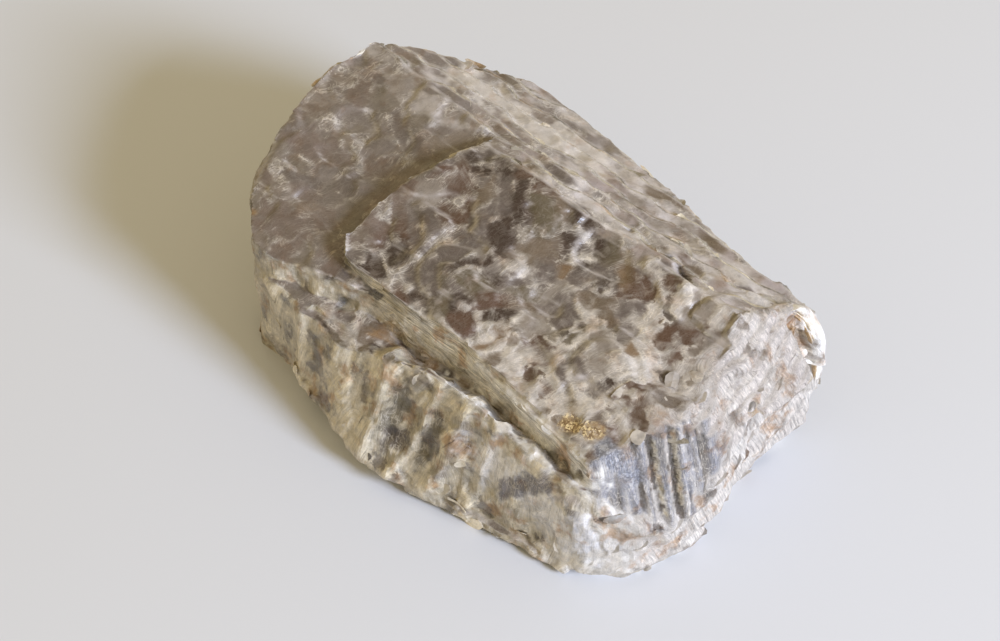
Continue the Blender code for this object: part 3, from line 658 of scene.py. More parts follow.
patches = {
    # Stains, single sheets and hollows on the broken sides, and painted shade and painted light where marked:
    # from, to, radius, tint, strength.
    "blush": ((38, -30.5, 18), (42.8, -30.2, 21.2), 1.6, "pink", 0.7),
    "spotA": ((42.6, -30.4, 18.3), (43.5, -29.4, 14), 1.9, "dark", 0.85),
    "spotB": ((46.4, -28, 15.9), (47.6, -27.3, 17.6), 1.5, "dark", 0.8),
    "ashMass": ((41.9, -29.8, 9.5), (46.2, -28.5, 6.5), 3.2, "ash", 0.8),
    "oliveA": ((1.4, -27.8, 21), (1.4, -34, 12), 3.3, "facet", 0.9),
    "oliveDark": ((2.2, -35.1, 9.5), (5.6, -34, 12), 2.2, "dark", 0.75),
    "ridgeA": ((-5, -28.9, 23.5), (-2.6, -34.3, 9), 1.6, "cream", 0.9),
    "ridgeB": ((9.4, -30.6, 23), (6.8, -35.6, 11), 0.8, "cream", 0.85),
    "facetB": ((11.4, -30.5, 18.6), (9.6, -34, 9.5), 1.7, "facet", 0.9),
    "ridgeC": ((17.4, -30, 21), (14.8, -34.5, 9), 1.7, "pale", 0.8),
    "facetC": ((19.8, -29.6, 20), (20.4, -33.5, 9.5), 1.2, "facet", 0.95),
    "cushion": ((23.3, -30.1, 21), (29.5, -28.9, 22), 2.2, "cream", 0.5),
    "amber": ((37.4, -28.9, 20.5), (39.6, -29.8, 21.4), 1.2, "gold", 0.7),
    # The cavity is cut in and tinted near-black: painted shade in the hollow.
    "cavity": ((-18.2, -25.8, 24.9), (-15.8, -24.9, 25.2), 1.3, "holeShade", 0.9),
    "hollow": ((-15.7, -27.4, 23.7), (-12.7, -25.4, 24), 1.4, "grey", 0.8),
    # A brown wedge under the book's edge: partly its own brown stain, partly painted shade under the overhang.
    "wedgeStainAndShade": ((-8.5, -24.6, 24.3), (3.5, -24.4, 21.8), 2.2, "rust", 0.55),
    "stain": ((-44.2, -23.7, 27), (-41, -26.5, 12), 2.4, "rust", 0.8),
    "leftRidge": ((-23.8, -31, 18), (-24, -33.5, 6), 1.4, "cream", 0.7),
    "leftDark": ((-34, -31, 8), (-31, -31, 5), 1.8, "dark", 0.6),
    "shelf": ((-27.5, -27.1, 27.5), (-14, -25.6, 25.5), 2, "cream", 0.55),
    # The silver patch: a grey-blue sheen on the front facet, painted as colour.
    "silverSheen": ((44.5, -23.6, 30.8), (50, -20.9, 25), 2.6, "silverSheen", 0.9),
    # The brass patch: the flake's golden tone, whose bright and dark grains in the finish are painted glints.
    "brass": ((35.4, -23.2, 30.6), (40.2, -22.3, 31.2), 2.3, "brass", 0.95),
    "slotRust": ((51.6, 20.4, 33), (54.2, 22.6, 20), 1.5, "rust", 0.95),
    # The pale strip along the book's side: its own pale grey laminae, lifted with painted light where the
    # plate's edge shades it.
    "bookEdge": ((-2, -23, 27.2), (42, -26.4, 26.4), 4.6, "bookEdge", 0.95),
    # The pale bluish-white right end of the front: partly the toe's own pale sheets, partly painted light on the
    # face turned to the lamp.
    "frontRight": ((24, -30.5, 17), (44, -29.8, 12), 7.5, "frontPale", 0.75),
    "flankTop": ((-34, 26.5, 36.3), (-2, 27.5, 33.9), 6, "flankPale", 0.6),
    "curlRim": ((51.4, 24.4, 32), (56.8, 24.6, 20), 3.4, "bookEdge", 0.9),
    "lens": ((27.5, -31, 12.5), (36, -29, 20.5), 2.7, "lens", 0.9),
    "lensFoot": ((30.5, -30, 11.2), (33.2, -29.5, 13.6), 1.2, "lens", 0.8),
    # A dark band along the notch under the book's edge: painted shade under its overhang.
    "notch": ((-6, -24.4, 24.6), (40, -27.6, 23.4), 1.5, "dark", 0.75),
    # A dark line down the crevice between the book and the end, also cut in: painted shade in the crevice.
    "creviceShade": ((41.6, -27, 25.4), (54.9, -19.8, 12.8), 0.9, "dark", 0.8),
}

cuts = {"slotRust": 1.1, "creviceShade": 1.0, "cavity": 0.8}  # patches that are also cut in, and how deep


def patchWeight(points, warp, patch):
    # 1 within half the radius of the line between its two ends, 0 beyond the radius, with a ragged edge.
    start, end, radius = (np.array(part, float) for part in patch[:3])
    run = end - start
    share = np.clip((points - start) @ run / (run @ run), 0, 1)
    away = np.linalg.norm(points - start - share[:, None] * run, axis=1) / radius
    return 1 - ease(0.55, 1.0, away + 0.5 * warp[:, 2] + 0.3 * warp[:, 0])


def colours(names, share):
    # The tints in a row, blended one to the next as share goes from 0 to 1.
    row = np.array([toLinear(tints[name])[:3] for name in names])
    at = np.clip(share, 0, 1) * (len(row) - 1)
    return np.stack([np.interp(at, range(len(row)), row[:, k]) for k in range(3)], axis=1)


def mixed(first, second, share):
    return first + (second - first) * share[:, None]


fine = {
    # Noise sizes in mm; three are along x, y and across the sheets, or across and along the streaks.
    "warp": 3.4, "slow": 9.0, "patch": 4.0, "crumb": 1.3, "bend": 11.0, "bruise": (5.0, 7.0, 9.0),
    "wallFlake": (6.0, 6.0, 1.3), "endFlake": (2.2, 9.0, 4.0), "rill": 16.0, "threads": 1.9,
    "flake": (4.6, 3.4, 9.0), "facet": (4.4, 5.0, 6.0), "streak": (1.5, 7.0, 7.0), "fibre": (1.4, 9.0),
    "sheet": 1.15, "sheetEdge": 3.5,
    # Heights in mm.
    "threadRise": 0.1, "flakeRise": 0.3, "endRise": 0.15, "flankRise": 0.5, "edgePlay": 0.6, "facetRise": 1.1,
    "streakRise": 0.4, "rillRise": 0.45, "crumbRise": 0.22, "fibreRise": 0.5,
    # Leans: a streak turns by this much from facet to facet, and a fibre runs down the end slope on this one.
    "streakLean": 0.15, "facetLean": 1.1, "fluteLean": 0.1, "fibreLean": 0.35, "facetShade": 0.5,
    "raggedPatch": 0.9, "cutWarp": 0.3, "stillBelow": (0.3, 1.6),
}

webTones = {
    # For each place, the web's tints from dark to pale, where patchy noise starts and how far it swings.
    "plateau": (("webPlateau", "webPlate"), 0.4, 0.6), "flank": (("pink", "webFlank", "webCream"), 0.45, 0.6),
    "wall": (("wallPale", "cream", "wallPale"), 0.5, 0.5), "front": (("facetPale", "cream"), 0.75, 0.6),
    # The toe's web runs to the palest tint: partly its own pale sheets, partly painted light on the face turned
    # to the lamp.
    "end": (("endPink", "endPale"), 0.6, 0.7), "toe": (("wallPale", "bookEdge"), 0.45, 0.7),
}

brokenTones = {  # the same for the tints that show between the web off the top
    "wall": ("wall", "wallPale", "facet", "tan"), "front": ("facet", "facetPale", "wall", "olive"),
    "end": ("endPink", "tan", "endPale"),
}


def sharedNoise(points):
    # The noises that several steps read.
    return {
        "warp": np.stack([layeredNoise(points / fine["warp"] + 17 * k, 140 + k, 2) for k in range(3)], axis=1),
        "patchy": layeredNoise(points / fine["patch"], 131, 3),
        "slow": layeredNoise(points / fine["slow"], 130, 2), "sway": softNoise(points / relief["swaySize"], 44),
        "crumb": layeredNoise(points / fine["crumb"], 201, 2),
    }


def fineRegions(points, normals):
    # Weights from 0 to 1: the top, its rear flank and plateau, the walls, the front and its toe, and the end.
    x, y, z = points.T
    facing, front, fluted, along = places(points, normals)
    onEnd = ease(*regions["endFacing"], normals @ unit(regions["endNormal"]))
    onEnd = onEnd * ease(*regions["endX"], x + 0.1 * (z - 20)) * (1 - fluted)
    onTop = ease(*regions["topFacing"], facing) * (1 - front) * (1 - fluted) * (1 - regions["topOnEnd"] * onEnd)
    onBook = ease(*regions["overPlate"], level(sheets["plate"], x, y) - z)
    onLowEnd = regions["toeOnEnd"] * onEnd * ease(*regions["toeZ"], z)
    return {
        "top": onTop, "flank": onTop * (1 - ease(*regions["flankFacing"], facing)), "end": onEnd,
        "front": front, "fluted": fluted, "wall": np.clip(1 - onTop - front - fluted - onEnd, 0, 1),
        "plateau": (1 - onBook) * ease(*regions["plateauX"], x - 0.3 * y),
        "toe": ease(*regions["toeX"], x - 0.5 * (z - 10)) * (front + onLowEnd), "along": along,
    }


def brokenFlakes(points, on, shared):
    # How pale the broken sheet ends are: long flakes along the walls, and down the end slope.
    x, y, z = points.T
    across = points @ cleavage
    long, wide, thick = fine["wallFlake"]
    place = np.stack([x / long, y / wide, across / thick], axis=1) + 0.35 * shared["warp"]
    onWall = 0.5 + 0.7 * layeredNoise(place, 303, 2)
    wide, long, thick = fine["endFlake"]
    place = np.stack([y / wide, (x - z) / long, across / thick], axis=1) + 0.5 * shared["warp"]
    onEnd = 0.5 + 0.7 * layeredNoise(place, 305, 2)
    return onWall + (onEnd - onWall) * on["end"]


def webAndPanes(points, on, shared, rill):
    # The tint of the web and of what shows between it, the field that parts the two, and where a hollow lies.
    x, y, _ = points.T
    warp, patchy, slow = shared["warp"], shared["patchy"], shared["slow"]
    field, paneTint, isVoid = paneMap(points, warp)
    near = 0.15 + 0.5 * patchy + 0.55 * ease(*regions["nearX"], x - y)
    web = colours(("webPlate", "webCream"), near)
    for place in ("plateau", "flank"):
        names, start, swing = webTones[place]
        web = mixed(web, colours(names, start + swing * patchy), on[place])
    paneTint = mixed(paneTint, colours(("webPlateau",), slow), 0.45 * on["plateau"])
    paneTint = mixed(paneTint, colours(("webFlank",), slow), 0.6 * on["flank"] * (1 - isVoid))
    web = mixed(web, colours(("grey",), slow), 0.25 * on["plateau"])
    flakes = brokenFlakes(points, on, shared)
    for place, share in (("wall", 1), ("front", 1), ("end", 1), ("toe", 0.8)):
        names, start, swing = webTones[place]
        web = mixed(web, colours(names, start + swing * patchy), share * on[place])
        if place in brokenTones:
            paneTint = mixed(paneTint, colours(brokenTones[place], flakes), on[place])
    # In the flutes the web runs from dark tan in the grooves to pale on the ridges: painted shade and highlight
    # following the rills.
    web = mixed(web, colours(("fluteTan", "fluteBlue", "endPale"), 0.45 + rill), on["fluted"])
    paneTint = mixed(paneTint, colours(("fluteTan",), slow), on["fluted"])

    # Off the top the field follows the folds, the flakes and the flutes, so the dark pane tint fills the flute
    # grooves as painted shade; on it, a wider web narrows the panes.
    fold = pleatFold(points, shared["sway"]) / 2.2
    groove = fluteGroove(points, on["along"], shared["sway"])
    broken = 1.1 * (0.25 - fold) * on["front"] + 1.6 * (flakes - 0.5) * (1 - on["front"]) * (1 - on["fluted"])
    broken = broken + 0.9 * patchy - 0.5 * on["toe"] + on["fluted"] * (1.6 * groove - 1.0 - 1.2 * rill)
    bruise = ease(0.05, 0.5, layeredNoise(skewed(points) / fine["bruise"], 132, 2))
    webWidth = 0.5 * ease(*regions["cornerX"], x - y) - 0.2 + 0.75 * bruise - 0.5 * ease(0.1, -0.25, patchy)
    field = field * on["top"] + (1 - on["top"]) * broken - webWidth * on["top"]
    for patch in patches.values():
        weight = patchWeight(points, warp + fine["raggedPatch"] * shared["crumb"][:, None], patch) * patch[4]
        tint = np.repeat([toLinear(tints[patch[3]])[:3]], len(x), axis=0)
        web = mixed(web, tint, weight * 0.9)
        paneTint = mixed(paneTint, tint, weight)
    return field, web, paneTint, isVoid


def skewed(points):
    # Places in the sheet, drawn out along x and its diagonal, and the height across the sheets.
    x, y, _ = points.T
    return np.stack([x + 0.4 * y, y * 1.5, points @ cleavage], axis=1)


def topMoves(points, on, shared, pane, isVoid):
    # Panes lie lower than the web, whose threads stand up; ragged flakes lie on both. All move off the sheets.
    across = points @ cleavage
    inSheet = skewed(points)
    warp, rough = shared["warp"], 1 - 0.85 * pane
    away = np.abs(layeredNoise((inSheet + 1.2 * warp) / fine["threads"], 151, 2))
    thread = np.clip(1 - away * 2.6, 0, 1) * rough
    recess = np.where(isVoid, panes["voidRecess"], panes["recess"])
    height = on["top"] * (fine["threadRise"] * thread - recess * pane)
    flake, gap = flakeCells((inSheet + 1.6 * warp) / fine["flake"], 161)
    height = height + on["top"] * fine["flakeRise"] * (flake - 0.5) * ease(0.0, 0.3, gap) * rough
    shifted = (across + 0.7 * warp[:, 0] + 0.8 * shared["sway"]) / fine["sheet"]
    rise = (stepped(shifted, 0.25, 0.75) - shifted) * fine["sheet"]
    return height + (fine["endRise"] * on["end"] + fine["flankRise"] * on["flank"]) * rise


def brokenMoves(points, on, shared, pane, rill, facets, lean):
    # Sheet edges on the walls, facets and streaks down the front, grooves in the flutes, fibres down the end
    # slope and crumbs wherever no pane is. All move along the normal.
    x, y, z = points.T
    across = points @ cleavage
    warp, (facet, facetGap) = shared["warp"], facets
    layer = np.floor((across + 0.35 * warp[:, 1]) / fine["sheet"])
    strip = np.stack([x / fine["sheetEdge"], y / fine["sheetEdge"], layer * 3.7], axis=1)
    height = on["wall"] * fine["edgePlay"] * layeredNoise(strip, 171, 3)
    streak = layeredNoise(np.stack([lean, y, z], axis=1) / fine["streak"] + 0.35 * warp, 181, 3)
    step = (facet - 0.5) * ease(0.0, 0.25, facetGap)
    height = height + on["front"] * (fine["facetRise"] * step + fine["streakRise"] * streak)
    height = height + on["fluted"] * fine["rillRise"] * rill
    loose = (1 - 0.85 * pane) * (1 - 0.7 * on["fluted"]) * (1 - 0.5 * on["top"]) * (1 - on["end"])
    height = height + fine["crumbRise"] * shared["crumb"] * loose
    wide, long = fine["fibre"]
    downSlope = np.stack([(y + fine["fibreLean"] * z) / wide, (x - z) / long, across * 0], axis=1)
    height = height + fine["fibreRise"] * on["end"] * layeredNoise(downSlope + 0.25 * warp, 221, 3)
    for name, depth in cuts.items():
        height = height - patchWeight(points, fine["cutWarp"] * warp, patches[name]) * depth
    return height


def streakLines(points, on, shared, lean):
    # u across the streaks and v along them, in mm: bent over the top, along the ridge behind it, level on the
    # walls, down the front, the flutes and the end slope.
    x, y, z = points.T
    across, warp = points @ cleavage, shared["warp"]
    bend = np.stack([layeredNoise(points / fine["bend"], 211 + k, 2) for k in range(3)], axis=1)
    turned = np.stack([0.93 * x - 0.37 * y, 0.37 * x + 0.93 * y, across * 0.5], axis=1)
    turned += 4.5 * bend + 1.2 * warp
    flow = turned * (on["top"] - on["flank"])[:, None]
    flow += (np.stack([y, x, across * 0.5], axis=1) + 1.5 * warp) * on["flank"][:, None]
    flow += np.stack([across, (x + y) * 0.7, (x - y) * 0.7], axis=1) * on["wall"][:, None]
    flow += np.stack([lean, z, y * 0.5], axis=1) * on["front"][:, None]
    down = on["along"] - fine["fluteLean"] * (relief["fluteTop"] - z)
    flow += np.stack([down, z, across * 0], axis=1) * on["fluted"][:, None]
    flow += np.stack([y + fine["fibreLean"] * z, x - z, across * 0], axis=1) * on["end"][:, None]
    return flow


def fineRelief(points, normals):
    # Returns the move, and the weights, tints and streak lines that the finish reads.
    x, _, z = points.T
    shared = sharedNoise(points)
    warp = shared["warp"]
    on = fineRegions(points, normals)
    down = on["along"] - fine["fluteLean"] * (relief["fluteTop"] - z)
    rill = layeredNoise(np.stack([down, z / fine["rill"], z * 0], axis=1) + 0.12 * warp, 191, 2)
    field, web, paneTint, isVoid = webAndPanes(points, on, shared, rill)
    pane = ease(-0.3, 0.6, field) * on["top"]
    facets = flakeCells((points + 2.0 * warp) / fine["facet"], 175)
    lean = x - (fine["streakLean"] + fine["facetLean"] * (facets[0] - 0.5)) * (z - relief["pleatMiddle"])
    move = np.outer(topMoves(points, on, shared, pane, isVoid), cleavage)
    move += normals * brokenMoves(points, on, shared, pane, rill, facets, lean)[:, None]
    shade = (1 + fine["facetShade"] * on["front"] * (facets[0] - 0.5))[:, None]
    weights = {
        "onTop": on["top"], "onFront": on["front"], "onWall": on["wall"], "onEnd": on["end"], "pane": field,
        "brassy": patchWeight(points, warp, patches["brass"]),
        "silvery": patchWeight(points, warp, patches["silverSheen"]), "web": web * shade,
        "paneTint": paneTint * shade, "flow": streakLines(points, on, shared, lean),
    }
    return move * ease(*fine["stillBelow"], z)[:, None], weights


def stoneSkin():
    skin = fusedSkin("mica_book", bookBlocks() + [frontBody(), curlWall()], blocks["grain"])
    points = readPoints(skin, "co", mm)
    points += broadRelief(points, readPoints(skin, "normal"))
    points = eased(skin, points, 2)
    writePoints(skin, points)
    normals = readPoints(skin, "normal")
    move, weights = fineRelief(points, normals)
    points = eased(skin, points + move, 1)
    points[points[:, 2] < blocks["flatFoot"], 2] = 0.0
    low = np.array(cadBox[0]) / mm - rowShift
    high = np.array(cadBox[1]) / mm - rowShift
    points = np.clip(points, low, high + blocks["proudOfBox"])
    writePoints(skin, points + rowShift)
    for name, values in weights.items():
        addAttribute(skin, name, values)
    stone = bpy.data.objects.new("mica_book", skin)
    bpy.context.scene.collection.objects.link(stone)
    print("stone skin:", len(skin.polygons), "faces")
    return stone, points, normals, weights


# loose sheets

flakes = {
    "wallShare": 0.011, "endShare": 0.005, "frontShare": 0.0015, "lipShare": 0.008, "topShare": 0.0003,
    "lip": (7, 4), "lowest": 1.0, "corners": 10, "longest": 2.8, "shortest": 1.0, "deepest": 1.4,
    "shallowest": 0.6, "thick": 0.1, "proudLeast": 0.2, "proudMost": 0.7, "frontProud": 0.4, "tilt": 0.35,
    "frontTilt": 0.85, "swing": 0.6, "bend": 0.5, "ragged": (0.75, 0.4), "tone": (0.7, 0.4), "pane": (-1.0, 1.4),
}

curl = {
    "path": (  # over the top of the slot and down its outer side
        (49.9, 19.8, 35.2), (50.3, 22.4, 34.9), (51.6, 24.0, 32.6), (53.4, 24.6, 29.6), (54.6, 25.0, 25.4),
        (55.2, 25.4, 20.6), (55.0, 25.2, 15.0),
    ),
    "sheets": (  # sideways offset, depth, half thickness, tint
        (0.3, 1.35, 1.25, "bookEdge"), (-1.1, 1.0, 0.25, "cream"), (-1.7, 0.8, 0.2, "goldSheet"),
    ),
    "rings": 40, "around": 14, "smooth": 7, "outwards": (0.9, -0.25, 0.35), "sideways": (0.0, 1.0, 0.25),
    "thickness": (0.25, 0.97, 0.0), "waver": 0.45, "raggedDepth": 0.3, "endPower": 0.4,
}


def looseFlakes(points, normals, weights):
    # Each flake is a ragged disc a tenth of a millimetre thick: its middle at the host point plus outwards
    # times (proud - depth), its corners at along * a * cos + outwards * b * sin, half sunk in the stone.
    index = np.arange(len(points))
    draw = [cellNumber(np.stack([index, index * 0, index * 0], axis=1), 400 + k) for k in range(10)]
    front, z = weights["onFront"], points[:, 2]
    share = flakes["wallShare"] * weights["onWall"] + flakes["endShare"] * weights["onEnd"]
    share += flakes["frontShare"] * front + flakes["lipShare"] * front * ease(*flakes["lip"], z)
    share += flakes["topShare"] * weights["onTop"]
    clear = patchWeight(points, points * 0, patches["curlRim"]) == 0
    chosen = np.flatnonzero((draw[0] < share) & (z > flakes["lowest"]) & (normals[:, 2] > -0.5) & clear)
    draw = [values[chosen, None] for values in draw]
    host, facing = points[chosen], normals[chosen]
    lying = front[chosen, None]
    tilt = np.concatenate(draw[1:4], axis=1) - 0.5
    tilted = flakes["tilt"] * (1 - lying) + flakes["frontTilt"] * lying
    across = cleavage * (1 - lying) + facing * lying + tilt * tilted
    across /= np.linalg.norm(across, axis=1)[:, None]
    outwards = facing + flakes["swing"] * tilt[:, ::-1]
    outwards -= across * np.sum(outwards * across, axis=1)[:, None]
    outwards /= np.linalg.norm(outwards, axis=1)[:, None]
    along = np.cross(outwards, across)
    half = flakes["shortest"] + (flakes["longest"] - flakes["shortest"]) * draw[4] ** 2
    depth = flakes["shallowest"] + (flakes["deepest"] - flakes["shallowest"]) * draw[5]
    proud = (flakes["proudMost"] - flakes["proudLeast"]) * draw[6] * (1 - (1 - flakes["frontProud"]) * lying)
    middle = host + outwards * (flakes["proudLeast"] + proud - depth)
    count = flakes["corners"]
    turn = np.arange(count) * 2 * np.pi / count
    corner = np.stack([chosen[:, None] + 0 * turn, np.arange(count)[None, :] + 0 * chosen[:, None]], axis=2)
    corner = np.concatenate([corner, corner[:, :, :1] * 0], axis=2).astype(np.int64).reshape(-1, 3)
    radius = flakes["ragged"][0] + flakes["ragged"][1] * cellNumber(corner, 420).reshape(-1, count)
    ring = middle[:, None] + along[:, None] * (half * radius * np.cos(turn))[:, :, None]
    ring = ring + outwards[:, None] * (depth * radius * np.sin(turn))[:, :, None]
    bent = flakes["bend"] * (draw[7] - 0.5) * half * np.cos(turn) ** 2
    ring = ring + across[:, None] * bent[:, :, None]
    lift = across[:, None] * flakes["thick"] * 0.5
    shape = np.concatenate([ring + lift, ring - lift, middle[:, None] + lift, middle[:, None] - lift], axis=1)
    j = np.arange(count)
    k = (j + 1) % count
    top = np.stack([j * 0 + 2 * count, j, k], axis=1)
    foot = np.stack([j * 0 + 2 * count + 1, count + k, count + j], axis=1)
    side = np.stack([count + j, count + k, k, j], axis=1)
    each = 2 * count + 2
    start = (np.arange(len(chosen)) * each)[:, None, None]
    faces = sum([(part[None] + start).reshape(-1, part.shape[1]).tolist() for part in (top, foot, side)], [])
    values = {name: value[np.repeat(chosen, each)] for name, value in weights.items()}
    values["web"] = values["web"] * np.repeat(flakes["tone"][0] + flakes["tone"][1] * draw[8], each, axis=0)
    values["pane"] = np.repeat(flakes["pane"][0] + flakes["pane"][1] * draw[9][:, 0], each)
    return shape.reshape(-1, 3), faces, values


def curledSheets():
    # An ellipse, thin sideways and deep outwards, carried along the path and drawn in at both ends.
    path = np.array(curl["path"])
    at = np.linspace(0, len(path) - 1, curl["rings"])
    line = np.stack([np.interp(at, range(len(path)), path[:, k]) for k in range(3)], axis=1)
    spread = np.full(curl["smooth"], 1 / curl["smooth"])
    padded = np.pad(line, ((curl["smooth"] // 2, curl["smooth"] // 2), (0, 0)), "edge")
    line = np.stack([np.convolve(padded[:, k], spread, "valid") for k in range(3)], axis=1)
    turn = np.linspace(0, 2 * np.pi, curl["around"], endpoint=False)
    outwards = unit(curl["outwards"])
    points, faces, tintRows, start = [], [], [], 0
    for i, (offset, depth, half, name) in enumerate(curl["sheets"]):
        grain = layeredNoise(np.stack([at * 1.3, at * 0 + 3.1 * i, at * 0], axis=1), 430, 3)
        drawnIn = np.clip(np.sin(np.pi * (at + 0.2) / (at[-1] + 0.4)), 0, 1) ** curl["endPower"]
        middle = line + np.array(curl["sideways"]) * (offset * drawnIn)[:, None]
        middle = middle + outwards * (curl["waver"] * grain)[:, None]
        out = (depth * drawnIn * (1 + curl["raggedDepth"] * grain))[:, None] * np.cos(turn)
        aside = (half * drawnIn)[:, None] * np.sin(turn)
        rings = middle[:, None] + outwards * out[:, :, None] + np.array(curl["thickness"]) * aside[:, :, None]
        some, its = closedTube(rings)
        points.append(some)
        faces += [[k + start for k in face] for face in its]
        tintRows.append(np.repeat([toLinear(tints[name])[:3]], len(some), axis=0))
        start += len(some)
    points, tintRows = np.concatenate(points), np.concatenate(tintRows)
    zero = np.zeros(len(points))
    values = {name: zero for name in ("onFront", "onWall", "onEnd", "brassy", "silvery")}
    values["flow"] = np.stack([points[:, 1] * 1.5, points[:, 2], points[:, 0]], axis=1)
    values.update({"onTop": zero + 0.7, "pane": zero - 3, "web": tintRows, "paneTint": tintRows * 0.8})
    return points, faces, values


def loosePiece(name, points, faces, values):
    low = np.array(cadBox[0]) / mm
    high = np.array(cadBox[1]) / mm + blocks["looseProudOfBox"]
    mesh = meshFrom(name, np.clip(points + rowShift, low, high), faces)
    for field, its in values.items():
        addAttribute(mesh, field, its)
    piece = bpy.data.objects.new(name, mesh)
    bpy.context.scene.collection.objects.link(piece)
    print(name + ":", len(mesh.polygons), "faces")
    return piece


# finishes

def addNode(tree, kind, values, output=0):
    # Adds one node and returns one of its outputs. Each value goes to the property or the socket of its name or
    # number, and a value that is another node's output is linked to it.
    node = tree.nodes.new("ShaderNode" + kind)
    for key, value in values.items():
        if isinstance(value, bpy.types.NodeSocket):
            tree.links.new(value, node.inputs[key])
        elif isinstance(key, str) and hasattr(node, key):
            setattr(node, key, value)
        else:
            node.inputs[key].default_value = value
    return node.outputs[output] if node.outputs else node


